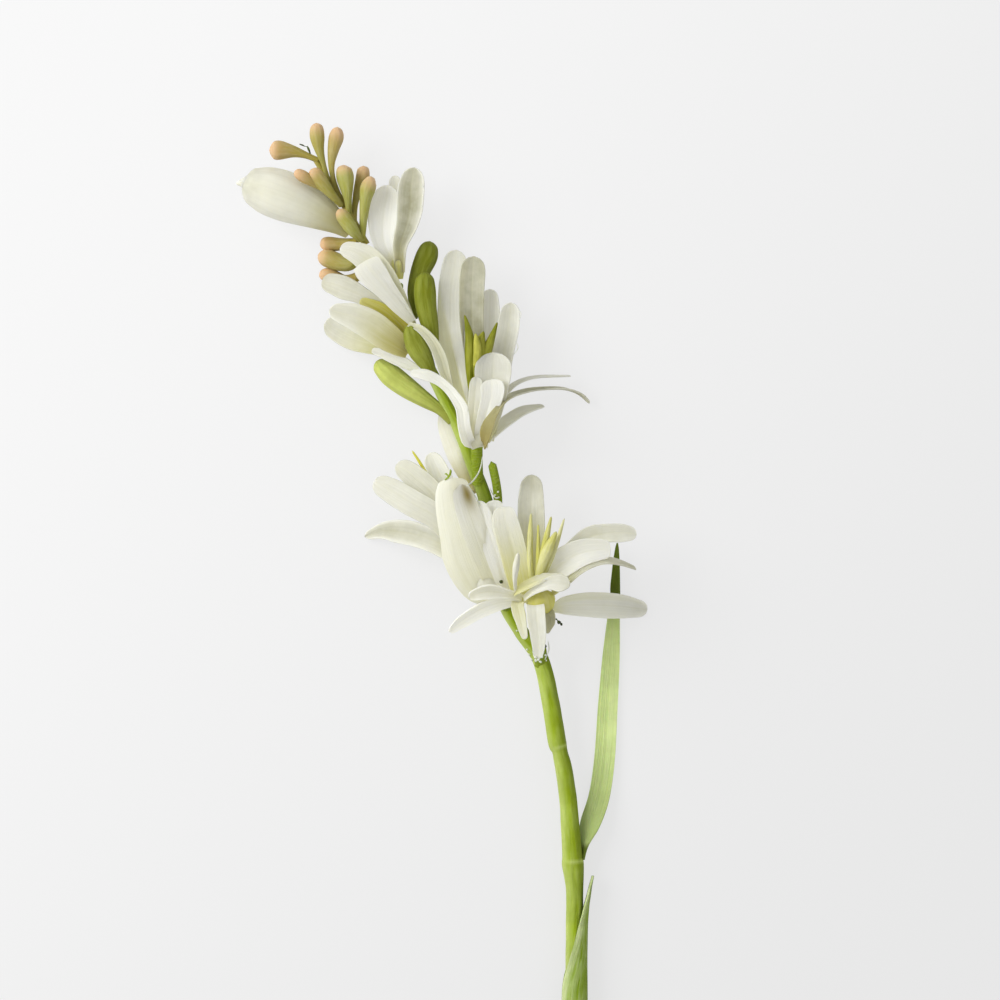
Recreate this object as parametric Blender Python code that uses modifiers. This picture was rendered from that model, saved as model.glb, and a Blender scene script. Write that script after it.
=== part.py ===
"""Cut tuberose flower, laid down on a table and seen from above.

Every place in the tables is a point of a drawing on squared paper, read as x to the
right, y down the sheet and z up from the table, all in squares of 0.3 mm. The stem's
cut end is at the foot of the sheet. In the part +X is the drawing's right, +Y runs
from the cut end towards the tip, and the table is z = 0.
"""
import math

import bmesh
import bpy
from mathutils import Quaternion, Vector

SQUARE = 0.0003
CENTRE_X = 443.15
CENTRE_Y = 661.4
PETAL_THICK = 0.0007
LEAF_THICK = 0.0008
SHEATH_GAP = 0.00057

# Colours of the materials.
WHITE = (0.80, 0.80, 0.70)
GREEN = (0.28, 0.42, 0.07)
LIGHT_GREEN = (0.45, 0.60, 0.20)
PEACH = (0.62, 0.45, 0.20)
YELLOW = (0.62, 0.66, 0.18)
OLIVE = (0.26, 0.30, 0.03)

# How finely the shapes are cut. The rounding numbers are bevel resolutions of a curve.
PETAL_ROWS = 6
PETAL_COLS = 2
LEAF_ROWS = 14
SHEATH_ROWS = 10
SHEATH_COLS = 12
STEM_STEPS = 44
THREAD_STEPS = 5
STEM_ROUND = 3
BUD_ROUND = 2
THREAD_ROUND = 1
FINE_STEPS = 80
CRUMB_VERTS = 12

# A petal is full width at this share of its length, and rounds off from the next.
FULL_AT = 0.55
ROUND_FROM = 0.62
TIP_EASE = 0.7

# Stem axis: x, y, z and radius. The wide places are the leaf joints.
STEM = [
    (575, 1200, 10.6, 10.0), (575, 1150, 12.4, 9.8), (575, 1118, 13.6, 10.6), (575, 1100, 14.0, 9.8),
    (575, 1050, 14.6, 9.4), (575, 1000, 15.0, 9.2), (575, 950, 15.2, 8.8), (575, 900, 15.6, 8.6),
    (574.2, 880, 16.0, 9.6), (573, 866, 16.4, 11.0), (572.6, 856, 16.8, 10.0), (571, 831, 17.4, 9.4),
    (568.5, 800, 18.2, 8.8), (564, 770, 19.2, 8.6), (560, 752, 19.9, 7.4), (557.5, 741, 20.2, 8.0),
    (554, 720, 21.0, 8.2), (549.5, 700, 22.2, 8.4), (540.5, 660, 25.0, 7.8), (521, 632, 27.5, 7.4),
    (505, 603, 29.5, 7.2), (495, 560, 31.5, 7.0), (487, 506, 34.0, 7.0), (472, 464, 36.0, 6.4),
    (455, 421, 37.0, 5.8), (438, 391, 38.0, 5.4), (417, 345, 38.0, 5.0), (395, 295, 38.0, 4.6),
    (370, 250, 38.0, 4.0),
]

# Short stalks on the stem that carry the blooms, and the bare stub, as on the stem.
STEM_STALKS = [
    [(541, 664, 26, 5), (545, 654, 33, 5), (546.5, 644, 38.5, 5)],
    [(504, 606, 30, 5), (506, 606, 36, 5.5), (506.5, 604, 40, 6)],
    [(478, 484, 37, 6), (477, 466, 44, 6.2), (477.5, 453, 47.5, 6.6)],
    [(421, 358, 38, 4.5), (421, 357, 43, 4.5), (419.5, 355.5, 46.5, 4.2)],
    [(396, 297, 38, 4), (399, 288, 39, 4), (399, 282, 40, 4)],
    [(496, 520, 33, 4), (498, 503, 36, 4.4), (496.5, 485, 40, 4.3), (492.5, 466, 42, 4.2),
     (491, 461, 42, 2.6)],
]


# Petals: the points of the midline from root to tip, the greatest width, the turn about
# the midline in degrees (0 faces up), the lift of the edges as a share of the half
# width, and the width of the root as a share. A tube is the bloom's solid heart.
LOWER_RIGHT = [
    ([(533, 588, 62), (532, 530, 50), (533, 475, 48)], 28, 0, 0.3, 0.5),
    ([(526, 590, 63), (516, 550, 56), (506, 509, 51)], 27, 0, 0.3, 0.5),
    ([(524, 594, 68), (498, 591, 84), (478, 602, 90), (460, 630, 80)], 26, 35, 0.3, 0.5),
    ([(543, 582, 66), (573, 547, 80), (605, 533, 84), (635, 533, 76)], 21, 0, 0.3, 0.5),
    ([(544, 584, 60), (578, 562, 66), (610, 548, 64)], 30, 0, 0.3, 0.5),
    ([(548, 592, 54), (590, 566, 52), (612, 561, 46), (636, 570, 36)], 16, 62, 0.3, 0.5),
    ([(544, 606, 54), (575, 603, 50), (610, 605, 30), (638, 608, 1.2), (648, 608, 1.2)], 27, 0, 0.3, 0.5),
    ([(534, 600, 76), (534, 625, 90), (538, 654, 86)], 20, 0, 0.2, 0.8),
    ([(534, 599, 76), (547, 588, 94), (566, 588, 103)], 20, 20, 0.3, 0.6),
]
LOWER_RIGHT_TUBE = [(547.5, 637.5, 42.5, 5), (547, 624, 50, 8), (541, 606, 60, 13), (537, 598, 66, 13)]
LOWER_LEFT = [
    ([(474, 562, 52), (430, 512, 46), (400, 492, 40), (376, 483, 32)], 36, 0, 0.3, 0.45),
    ([(476, 558, 46), (435, 500, 34), (401, 462, 26)], 32, 0, 0.3, 0.45),
    ([(478, 556, 44), (452, 500, 26), (430, 454, 14)], 28, 0, 0.3, 0.45),
    ([(468, 572, 54), (430, 544, 42), (400, 532, 18), (376, 535, 1.2), (365, 538, 1.2)], 24, 20, 0.3, 0.45),
    ([(480, 582, 66), (456, 545, 76), (447, 510, 78), (437, 482, 76)], 34, 0, -0.3, 0.5),
    ([(488, 580, 68), (475, 545, 84), (463, 508, 86), (458, 481, 78)], 30, 0, -0.3, 0.5),
    ([(494, 582, 64), (488, 548, 74), (480, 503, 68)], 26, 0, -0.3, 0.5),
    ([(496, 584, 56), (495, 545, 50), (493, 500, 46)], 22, 0, 0.0, 0.5),
]
LOWER_LEFT_TUBE = [(506, 602, 46, 6), (498, 596, 49, 11), (485, 583, 54, 18), (472, 566, 58, 22.5)]
LOWER_LEFT_STAMEN = [(470, 550, 52, 2.4), (446, 508, 34, 2.4), (426, 470, 24, 2.6), (412, 451, 22, 1.6)]
MIDDLE = [
    ([(474, 432, 50), (458, 385, 42), (449, 320, 38), (454, 250, 38)], 31, 0, 0.3, 0.5),
    ([(478, 430, 50), (470, 345, 44), (471, 300, 43), (477, 257, 42)], 28, 0, 0.3, 0.5),
    ([(482, 430, 48), (486, 345, 34), (489, 290, 32)], 26, 0, 0.3, 0.5),
    ([(488, 430, 48), (503, 355, 40), (511, 303, 42)], 25, 0, 0.3, 0.5),
    ([(487, 434, 60), (492, 390, 72), (493, 353, 68)], 36, 0, 0.3, 0.6),
    ([(482, 439, 62), (485, 410, 78), (485, 376, 78)], 33, 0, 0.3, 0.7),
    ([(476, 438, 58), (462, 415, 60), (450, 392, 64), (436, 378, 68), (412, 377, 68)], 17, 0, 0.3, 0.8),
    ([(488, 438, 52), (504, 414, 46), (542, 393, 30), (570, 391, 14), (590, 403, 7.6)], 18, 70, 0.2, 0.8),
    ([(486, 436, 48), (502, 403, 40), (542, 380, 24), (572, 378, 16)], 16, 70, 0.2, 0.5),
    ([(490, 438, 52), (515, 425, 46), (542, 407, 34)], 16, 55, 0.3, 0.5),
    ([(482, 443, 54), (488, 430, 66), (494, 414, 68)], 16, 0, 0.3, 0.9),
]
MIDDLE_TUBE = [(478.5, 449, 50.5, 7), (479, 441, 53, 15), (481, 433, 56, 18)]
UPPER_LEFT = [
    ([(402, 327, 54), (381, 289, 60), (364, 266, 61), (347, 250, 56)], 41, 0, 0.3, 0.45),
    ([(398, 329, 48), (362, 297, 46), (323, 281, 38)], 30, 0, 0.3, 0.45),
    ([(400, 337, 54), (370, 322, 60), (331, 309, 60)], 31, 0, 0.3, 0.45),
    ([(398, 346, 46), (372, 341, 32), (336, 326, 1.2), (325, 321, 1.2)], 30, 0, 0.3, 0.45),
    ([(402, 356, 46), (390, 358, 42), (371, 350, 36)], 15, 0, 0.3, 0.6),
]
UPPER_LEFT_TUBE = [(416, 352, 49.5, 4), (408, 347, 50, 6.5), (398, 339, 50, 10)]
OPENING_BUD = [
    ([(395, 266, 41), (383, 228, 38), (383, 187, 34)], 32, 0, 0.3, 0.45),
    ([(399, 266, 42), (408, 215, 46), (413, 168, 44)], 27, 0, 0.3, 0.45),
    ([(398, 264, 40), (397, 210, 28), (396, 173, 28)], 14, 0, 0.3, 0.6),
]
OPENING_BUD_TUBE = [(399, 278, 40.5, 4), (398, 268, 41, 6.5), (397, 258, 41, 7.5)]

# Buds: axis points with the radius at each, from the stalk to the tip.
LARGE_BUD = [(348, 234.5, 36, 4), (335.5, 222.5, 36, 11.6), (318, 211.5, 36, 18.2), (290, 198.5, 37, 24.5),
             (268, 190.5, 37, 23), (252, 186, 37, 17), (243, 183, 37, 9), (239, 182, 37, 2.5)]
BEHIND_BUD = [(474, 492, 25.5, 3.5), (470, 482, 20, 8), (460, 452, 16.5, 14), (449, 424, 16.5, 12),
              (442, 408, 17, 4)]
GREEN_BUDS = {
    "bud_green_high": [(414.5, 318, 32, 3.2), (413.5, 305, 29, 4.5), (415, 290, 27, 7.5), (423, 268, 26, 10),
                       (430, 252, 25, 10), (431, 243, 25, 5)],
    "bud_green_long": [(432, 350, 50, 5), (428, 326, 52, 8.5), (424, 300, 53, 11), (424, 284, 53, 10.5),
                       (424, 276, 53, 5)],
    "bud_green_left": [(437, 407, 35, 3.4), (430, 404, 33, 6.4), (412, 393, 30, 11), (392, 377, 26, 12),
                       (380, 365, 22, 9), (376, 361, 21, 4)],
}
OPENING_GREEN = [([(426, 337, 62), (441, 353, 60), (447, 374, 58)], 14, 0, 0.3, 0.6)]
OPENING_GREEN_BUD = [(431, 374, 54, 5), (426, 360, 61, 9), (418, 346, 66, 10.5), (412, 333, 67, 9),
                     (409, 326, 67, 4)]

# Tip spray: the stem's thin end and the small buds on it, as for the buds above.
TIP_STEM = [(366, 244, 38, 3.8), (358, 230, 38, 3.8), (345, 206, 38, 3.6), (329, 181, 39, 3.2),
            (314, 157, 40, 2.8)]
TIP_BUDS = [
    [(318, 160, 41, 3), (304, 154, 41, 4.4), (284, 150, 41, 8.6), (275, 150, 41, 9.6), (269, 150, 41, 6)],
    [(328, 180, 41, 2.7), (323, 160, 46, 3.6), (318, 142, 50, 7.2), (317, 130, 50, 7.2), (316, 123, 50, 4)],
    [(341, 200, 40, 2.7), (332, 172, 46, 4), (334, 150, 50, 6), (337, 136, 50, 7.4), (337, 127, 50, 4.2)],
    [(332, 194, 44, 2.6), (315, 185, 57, 4), (303, 177, 61, 6), (295, 172, 61, 4)],
    [(341, 205, 43, 3), (328, 191, 53, 6.6), (317, 177, 58, 7.6), (311, 171, 58, 4.3)],
    [(349, 213, 40, 3), (347, 195, 48, 5.6), (345, 180, 50, 9), (344, 171, 50, 8.3), (344, 165, 50, 4.6)],
    [(354, 225, 38, 2.7), (355, 200, 36, 4.6), (360, 184, 36, 6), (362, 172, 36, 7), (362, 165, 36, 4)],
    [(362, 240, 42, 3), (364, 215, 50, 4.6), (367, 192, 55, 7.6), (370, 184, 55, 7.3), (374, 179, 55, 4)],
    [(361, 240, 44, 3), (351, 228, 53, 7), (342, 216, 56, 7), (338, 210, 56, 4)],
    [(357, 240, 33, 2.7), (342, 243, 23, 6), (326, 243, 20, 7.4), (319, 244, 20, 4)],
    [(364, 244, 35, 2.7), (352, 262, 30, 6), (340, 262, 27, 8.5), (326, 257, 25, 9), (317, 254, 25, 4.6)],
    [(365, 246, 34, 2.7), (362, 270, 26, 4), (345, 280, 22, 6), (328, 274, 20, 7.4), (318, 275, 20, 4)],
    [(356, 231, 38, 3.6), (355, 231.5, 37.8, 3.6), (353.5, 232.5, 37.5, 3.6)],
]

# Stamens: thin threads from one root in the bloom's throat, with the radius.
STAMENS_RIGHT = [
    [(533, 583, 75, 2.6), (533, 560, 75, 2.6), (531, 514, 78, 1)],
    [(534, 583, 76, 2.6), (541, 560, 77, 3), (550, 517, 80, 1)],
    [(534, 583, 76, 2.6), (545, 560, 88, 3.4), (553, 532, 98, 1.2)],
    [(534, 583, 76, 2.6), (550, 560, 88, 2.4), (564, 520, 88, 0.9)],
    [(533, 583, 76, 2.4), (519, 574, 92, 3.2), (517, 553, 99, 1)],
]
STAMENS_MIDDLE = [
    [(480, 418, 61, 2.8), (472, 384, 58, 3.2), (470, 350, 59, 3), (464, 316, 60, 1)],
    [(480, 418, 61, 2.8), (478, 384, 58, 3.6), (482, 355, 59, 3), (484, 334, 60, 1)],
    [(480, 418, 61, 2.8), (483, 384, 58, 3.2), (491, 355, 57, 2.8), (498, 322, 58, 1)],
]

# Leaves: axis points with the width at each, then the turn of the blade about the axis.
LONG_LEAF = [
    (587, 858, 16, 9, 70), (590.5, 846, 14.5, 13, 66), (597, 826, 10, 17, 40), (603, 800, 5, 20, 14),
    (605.5, 760, 2.4, 21, 4), (608.5, 710, 1.4, 20, 0), (611.5, 665, 1.4, 18, 0), (615, 620, 3, 14, 24),
    (617.5, 590, 6, 13, 46), (619.5, 543, 13, 5, 50),
]

# Clasping leaf: y, how far it reaches round the stem to each side in degrees, and how
# far it stands off to the right.
SHEATH = [
    (1116, 176, 0), (1060, 172, 0), (1000, 168, 0), (965, 145, 0), (945, 112, 0.4), (925, 78, 1.0),
    (905, 46, 2.6), (890, 30, 4.4), (878, 16, 6.0),
]


def at(place):
    """Turns a place on the drawing into a point of the part, in metres."""
    x, y, z = place[:3]
    return Vector(((x - CENTRE_X) * SQUARE, (CENTRE_Y - y) * SQUARE, z * SQUARE))


def between(rows, share):
    """Reads a smooth curve through the rows, at a share of its rows from 0 to 1."""
    last = len(rows) - 1
    place = min(max(share, 0.0), 1.0) * last
    i = min(int(place), last - 1)
    t = place - i
    here = Vector(rows[i])
    there = Vector(rows[i + 1])
    before = Vector(rows[i - 1]) if i > 0 else 2 * here - there
    after = Vector(rows[i + 2]) if i + 2 <= last else 2 * there - here
    bend = 2 * before - 5 * here + 4 * there - after
    swing = 3 * here - before - 3 * there + after
    return 0.5 * (2 * here + (there - before) * t + bend * t * t + swing * t ** 3)


def even_rows(rows, count, ease=0.0):
    """Reads count + 1 places at even lengths along the curve, closer at its end with ease."""
    fine = [between(rows, k / FINE_STEPS) for k in range(FINE_STEPS + 1)]
    run = [0.0]
    for a, b in zip(fine, fine[1:]):
        run.append(run[-1] + (Vector(b[:3]) - Vector(a[:3])).length)
    out = []
    for k in range(count + 1):
        share = (1 - ease) * k / count + ease * math.sin(math.pi / 2 * k / count)
        aim = run[-1] * share
        i = max(j for j in range(FINE_STEPS) if run[j] <= aim + 1e-9)
        t = (aim - run[i]) / (run[i + 1] - run[i])
        out.append((share, fine[i].lerp(fine[i + 1], min(t, 1.0))))
    return out


def swell(share, root):
    """Gives a petal's width at a share of its length: narrow root, wide middle, round tip."""
    wide = root + (1 - root) * math.sin(math.pi / 2 * min(share / FULL_AT, 1.0))
    if share > ROUND_FROM:
        wide *= max(0.1, 1 - ((share - ROUND_FROM) / (1 - ROUND_FROM)) ** 2.6) ** 0.5
    return wide


def grid_piece(name, cols, rows, place):
    """Bends a flat grid by a rule, its squares cut into triangles so both faces agree."""
    bm = bmesh.new()
    bmesh.ops.create_grid(bm, x_segments=cols, y_segments=rows, size=1.0)
    for vert in bm.verts:
        col = round((vert.co.x + 1) / 2 * cols)
        row = round((vert.co.y + 1) / 2 * rows)
        vert.co = place(col / cols * 2 - 1, row)
    bmesh.ops.triangulate(bm, faces=bm.faces[:], quad_method="FIXED")
    mesh = bpy.data.meshes.new(name)
    bm.to_mesh(mesh)
    bm.free()
    return bpy.data.objects.new(name, mesh)


def blade(name, lines, turns, widths, cup, floor):
    """Makes a strip along the lines; a turn of 0 faces up from the table."""
    count = len(lines) - 1
    chord = (lines[-1] - lines[0]).normalized()
    flat = chord.cross(Vector((0, 0, 1))).normalized()

    def place(across, row):
        before = lines[max(row - 1, 0)]
        after = lines[min(row + 1, count)]
        run = (after - before).normalized()
        side = Quaternion(chord, -math.radians(turns[row])) @ flat
        side = (side - run * side.dot(run)).normalized()
        lift = side.cross(run)
        half = 0.5 * widths[row]
        spot = lines[row] + side * half * across + lift * cup * half * across * across
        spot.z = max(spot.z, floor)
        return spot

    return grid_piece(name, PETAL_COLS, count, place)


def petal(name, spec, heart):
    """Makes one petal, its root sunk in the bloom's heart."""
    points, width, turn, cup, root = spec
    rows = even_rows([heart, *points], PETAL_ROWS, TIP_EASE)
    lines = [at(row) for share, row in rows]
    widths = [width * SQUARE * swell(share, root) for share, row in rows]
    sheet = blade(name, lines, [turn] * len(lines), widths, cup, PETAL_THICK / 2)
    return thicken(sheet, PETAL_THICK)


def thicken(sheet, thick):
    """Gives a sheet its thickness, half to each side."""
    shell = sheet.modifiers.new("Thickness", "SOLIDIFY")
    shell.thickness = thick
    shell.offset = 0.0
    return as_mesh(sheet)


def as_mesh(source):
    """Makes a plain mesh of an object with its modifiers or its curve bevel."""
    bpy.context.scene.collection.objects.link(source)
    bpy.context.view_layer.update()
    graph = bpy.context.evaluated_depsgraph_get()
    mesh = bpy.data.meshes.new_from_object(source.evaluated_get(graph))
    name = source.name
    bpy.data.objects.remove(source)
    bm = bmesh.new()
    bm.from_mesh(mesh)
    bmesh.ops.remove_doubles(bm, verts=bm.verts[:], dist=0.000001)
    drop_crumbs(bm)
    bmesh.ops.recalc_face_normals(bm, faces=bm.faces[:])
    bm.to_mesh(mesh)
    bm.free()
    return bpy.data.objects.new(name, mesh)


def drop_crumbs(bm):
    """Deletes the specks that a union leaves where three faces nearly meet."""
    bm.verts.ensure_lookup_table()
    known = set()
    for first in bm.verts[:]:
        if first in known:
            continue
        island = {first}
        edge = [first]
        while edge:
            near = {link.other_vert(vert) for vert in edge for link in vert.link_edges}
            edge = list(near - island)
            island |= near
        known |= island
        if len(island) < CRUMB_VERTS:
            bmesh.ops.delete(bm, geom=list(island), context="VERTS")


def rod(name, rows, steps, sides):
    """Makes a round rod along the rows, with the radius of each row."""
    curve = bpy.data.curves.new(name, "CURVE")
    curve.dimensions = "3D"
    curve.bevel_depth = SQUARE
    curve.bevel_resolution = sides
    curve.use_fill_caps = True
    line = curve.splines.new("POLY")
    marks = even_rows(rows, steps)
    line.points.add(len(marks) - 1)
    for point, (share, row) in zip(line.points, marks):
        point.co = (*at(row), 1)
        point.radius = max(row[3], 0.6)
    return as_mesh(bpy.data.objects.new(name, curve))


def joined(name, first, others):
    """Unites the pieces into one solid body."""
    if others:
        group = bpy.data.collections.new(name + "_pieces")
        bpy.context.scene.collection.children.link(group)
        for other in others:
            group.objects.link(other)
        union = first.modifiers.new("Union", "BOOLEAN")
        union.operation = "UNION"
        union.operand_type = "COLLECTION"
        union.collection = group
        union.solver = "MANIFOLD"
        first = as_mesh(first)
        for other in others:
            bpy.data.objects.remove(other)
        bpy.data.collections.remove(group)
    first.name = name
    return first


def bloom(name, petals, tube, extra=(), steps=4):
    """Unites a bloom's petals, and its threads if it has any, with its heart."""
    heart = rod(name, tube, steps, BUD_ROUND)
    parts = [petal(name + "_petal", spec, tube[-2][:3]) for spec in petals]
    parts += [rod(name + "_thread", rows, THREAD_STEPS, THREAD_ROUND) for rows in extra]
    return joined(name, heart, parts)


def stem():
    stalks = [rod("stalk", rows, 4, BUD_ROUND) for rows in STEM_STALKS]
    return joined("stem", rod("stem", STEM, STEM_STEPS, STEM_ROUND), stalks)


def stamens(name, threads):
    parts = [rod(name, rows, THREAD_STEPS, THREAD_ROUND) for rows in threads]
    return joined(name, parts[0], parts[1:])


def tip_spray():
    buds = [rod("tip_bud", rows, 6, BUD_ROUND) for rows in TIP_BUDS]
    return joined("tip_spray", rod("tip_spray", TIP_STEM, 6, BUD_ROUND), buds)


def long_leaf():
    rows = [between(LONG_LEAF, k / LEAF_ROWS) for k in range(LEAF_ROWS + 1)]
    lines = [at(row) for row in rows]
    widths = [row[3] * SQUARE for row in rows]
    turns = [row[4] for row in rows]
    return thicken(blade("leaf_long", lines, turns, widths, 0.2, LEAF_THICK / 2), LEAF_THICK)


def stem_at(y):
    """Finds the stem's centre and radius at a height on the drawing."""
    for low, high in zip(STEM, STEM[1:]):
        if high[1] <= y <= low[1]:
            share = (low[1] - y) / (low[1] - high[1])
            return Vector(low).lerp(Vector(high), share)
    return Vector(STEM[0])


def sheath():
    """Wraps the clasping leaf round the stem; its free end leaves it to the right."""
    marks = [between(SHEATH, k / SHEATH_ROWS) for k in range(SHEATH_ROWS + 1)]
    clear = (SHEATH_GAP + LEAF_THICK / 2) / SQUARE

    def place(across, row):
        y, reach, out = marks[row]
        x, same, z, radius = stem_at(y)
        angle = math.radians(reach * across)
        ring = max(radius, stem_at(y - 8)[3], stem_at(y + 8)[3]) + clear
        spot = at((x + out + ring * math.cos(angle), y, z + ring * math.sin(angle)))
        spot.z = max(spot.z, LEAF_THICK / 2)
        return spot

    return thicken(grid_piece("leaf_sheath", SHEATH_COLS, SHEATH_ROWS, place), LEAF_THICK)


def paint(piece, colour, rough):
    """Gives a piece its own material and smooth shading."""
    paint_of = bpy.data.materials.new(piece.name)
    paint_of.use_nodes = True
    shader = paint_of.node_tree.nodes["Principled BSDF"]
    shader.inputs["Base Color"].default_value = (*colour, 1)
    shader.inputs["Roughness"].default_value = rough
    shader.inputs["Metallic"].default_value = 0.0
    piece.data.materials.clear()
    piece.data.materials.append(paint_of)
    piece.data.shade_smooth()
    piece.data.set_sharp_from_angle(angle=math.radians(50))


def main():
    for old in list(bpy.data.objects):
        bpy.data.objects.remove(old)
    flower = bpy.data.collections.new("tuberose_flower")
    bpy.context.scene.collection.children.link(flower)
    root = bpy.data.objects.new("flower_root", None)
    flower.objects.link(root)
    made = [
        (stem(), GREEN), (long_leaf(), LIGHT_GREEN), (sheath(), GREEN),
        (bloom("bloom_lower_right", LOWER_RIGHT, LOWER_RIGHT_TUBE), WHITE),
        (bloom("bloom_lower_left", LOWER_LEFT, LOWER_LEFT_TUBE, [LOWER_LEFT_STAMEN]), WHITE),
        (bloom("bloom_middle", MIDDLE, MIDDLE_TUBE), WHITE),
        (bloom("bloom_upper_left", UPPER_LEFT, UPPER_LEFT_TUBE), WHITE),
        (bloom("bud_white_opening", OPENING_BUD, OPENING_BUD_TUBE), WHITE),
        (rod("bud_white_large", LARGE_BUD, 10, STEM_ROUND), WHITE),
        (rod("bud_white_behind", BEHIND_BUD, 7, BUD_ROUND), WHITE),
        (stamens("stamens_lower_right", STAMENS_RIGHT), YELLOW),
        (stamens("stamens_middle", STAMENS_MIDDLE), OLIVE),
        (tip_spray(), PEACH),
        (bloom("bud_green_opening", OPENING_GREEN, OPENING_GREEN_BUD, steps=7), GREEN),
    ]
    made += [(rod(name, rows, 7, BUD_ROUND), GREEN) for name, rows in GREEN_BUDS.items()]
    for piece, colour in made:
        flower.objects.link(piece)
        piece.parent = root
        paint(piece, colour, 0.5)


main()
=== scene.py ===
"""Cut tuberose flower, laid down and seen from above: petals, buds, leaves and stem.

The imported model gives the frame. Every place in the tables is a point of a drawing in
squares of 0.3 mm, x to the right, y down the sheet and z up from the table, as in the
part's own source. Each piece is shaped from these points, finer than its solid, and
stands in that solid's place.
"""

import math

import bmesh
import bpy
from bpy.props import FloatProperty, FloatVectorProperty, PointerProperty
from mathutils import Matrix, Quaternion, Vector, noise


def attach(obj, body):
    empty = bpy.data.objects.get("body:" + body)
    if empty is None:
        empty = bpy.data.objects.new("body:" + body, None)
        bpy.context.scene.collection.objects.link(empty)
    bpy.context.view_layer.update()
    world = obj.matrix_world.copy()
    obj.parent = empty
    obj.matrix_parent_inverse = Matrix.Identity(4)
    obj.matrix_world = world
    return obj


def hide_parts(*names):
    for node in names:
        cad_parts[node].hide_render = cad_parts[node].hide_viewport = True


bl_info = {
    "name": "Tuberose flower",
    "version": (1, 0, 0),
    "blender": (4, 5, 0),
    "location": "3D View > Sidebar > Tuberose",
    "description": "Shapes and colours a cut tuberose over its packed solids",
    "category": "Object",
}

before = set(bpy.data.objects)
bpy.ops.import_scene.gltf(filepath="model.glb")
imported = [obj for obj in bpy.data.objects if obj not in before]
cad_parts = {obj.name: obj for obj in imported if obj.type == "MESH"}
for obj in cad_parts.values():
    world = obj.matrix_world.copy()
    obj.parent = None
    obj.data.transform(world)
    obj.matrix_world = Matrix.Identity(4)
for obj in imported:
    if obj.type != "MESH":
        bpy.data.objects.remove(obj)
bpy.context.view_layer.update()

# One square of the drawing in metres, and the place on it that is the part's middle.
SQUARE = 0.0003
CENTRE_X = 443.15
CENTRE_Y = 661.4

# The map that follows each piece from root to tip, and its marks for toning. The throat
# mark is a yellow green or pale tone, and on the stem and the clasping leaf also a painted
# highlight on the side towards the key light. The shade mark is painted shade on the
# petals, the white buds, the stem and the leaves, and a darker or greener colour on the
# green buds, the tip buds and the stalks. The brown mark is worn brown and olive, which
# at some petal roots is painted shade in deep folds.
UV_NAME = "grain"
MARKS = ("throat", "shade", "brown")

# Points closer than this are one; nothing lies closer than this to the floor.
MERGE = 1e-7
FLOOR_CLEAR = 0.00012

# Steps in which the length of a curve is measured.
FEWEST_STEPS, STEPS_A_ROW = 80, 16

# How finely the shapes are cut.
PETAL_COLS, PETAL_ROWS = 20, 34
LEAF_COLS, LEAF_ROWS = 12, 90
SHEATH_COLS, SHEATH_ROWS = 40, 60
STEM_AROUND, STEM_ALONG = 36, 300
BUD_AROUND, BUD_ALONG = 48, 40
SPRAY_AROUND, SPRAY_ALONG = 24, 30
THREAD_AROUND, THREAD_ALONG = 12, 24
TUBE_AROUND, TUBE_ALONG = 36, 20
STALK_AROUND, STALK_ALONG = 20, 14
HAIR_AROUND, HAIR_ALONG = 8, 16
CRUMB_CUTS, CRUMB_BUMPS = 2, 1500

# Faces that meet at more than this angle in degrees keep a sharp edge.
SHARP_ANGLE = 50

# How much closer the rows lie at the tip of a petal and of a round body.
TIP_EASE = 0.7
TUBE_EASE, THREAD_EASE, STAMEN_EASE, BUD_EASE, SPRAY_EASE = 0.5, 0.4, 0.3, 0.4, 0.5

# The surface of a blade, with widths as shares of its half width: its groove along the
# middle, the step of a fold, the soft edge of a tint, and how close its waves are.
GROOVE_WIDTH, FOLD_WIDTH, TINT_WIDTH = 0.16, 0.14, 0.2
WAVES_ALONG, WAVES_ACROSS = 4, 0.8
WAVES_START, WAVES_STEP = 3.1, 1.7

# A petal with two turns goes from one to the other here, as shares of its length.
TURN_BEGINS, TURN_LENGTH = 0.12, 0.25

# The worn brown spot of a petal: its middle across and along, and its half sizes.
SPOT_ACROSS, SPOT_ALONG = 0.35, 0.915
SPOT_WIDTH, SPOT_LENGTH = 0.6, 0.12

# The skin of a bud: how many petals lap round it, and its low ribs.
LAPPING_PETALS = 3
BUD_RIBS, BUD_RIB_HEIGHT = 5, 0.012

# The skin of the stem: its ribs, how they sway, and its uneven places.
STEM_RIBS, RIB_SWAY, RIB_SWAYS = 7, 5, 9
UNEVEN_HEIGHT, UNEVEN_AROUND, UNEVEN_ALONG = 0.03, 6, 60

# Stem axis: x, y, z and radius. The wide places are the leaf joints.
STEM = [
    (575, 1200, 10.6, 10.0), (575, 1150, 12.4, 9.8), (575, 1118, 13.6, 10.6), (575, 1100, 14.0, 9.8),
    (575, 1050, 14.6, 9.4), (575, 1000, 15.0, 9.2), (575, 950, 15.2, 8.8), (575, 900, 15.6, 8.6),
    (574.2, 880, 16.0, 9.6), (573, 866, 16.4, 11.0), (572.6, 856, 16.8, 10.0), (571, 831, 17.4, 9.4),
    (568.5, 800, 18.2, 8.8), (564, 770, 19.2, 8.5), (561, 757, 19.7, 7.8), (560.2, 752.5, 19.9, 7.5),
    (558.2, 747, 20.0, 9.0), (556.3, 738, 20.4, 9.2), (553.5, 720, 21.0, 9.0), (550, 700, 22.2, 8.8),
    (540.5, 660, 25.0, 8.2), (521, 632, 27.5, 7.4), (505, 603, 29.5, 7.2), (495, 560, 31.5, 7.0),
    (487, 506, 34.0, 7.0), (472, 464, 36.0, 6.4), (456, 421, 37.0, 6.4), (441, 391, 38.0, 6.4),
    (418, 345, 38.0, 5.4), (395, 295, 38.0, 4.6), (370, 250, 38.0, 4.0),
]

# Heights on the drawing of the pale rings at two leaf joints, and how high and pale a
# ring is, as a share of the stem's length and of the stem's pale tone.
STEM_JOINTS = (866, 751)
RING_HEIGHT, RING_PALE = 0.0013, 0.45

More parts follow.
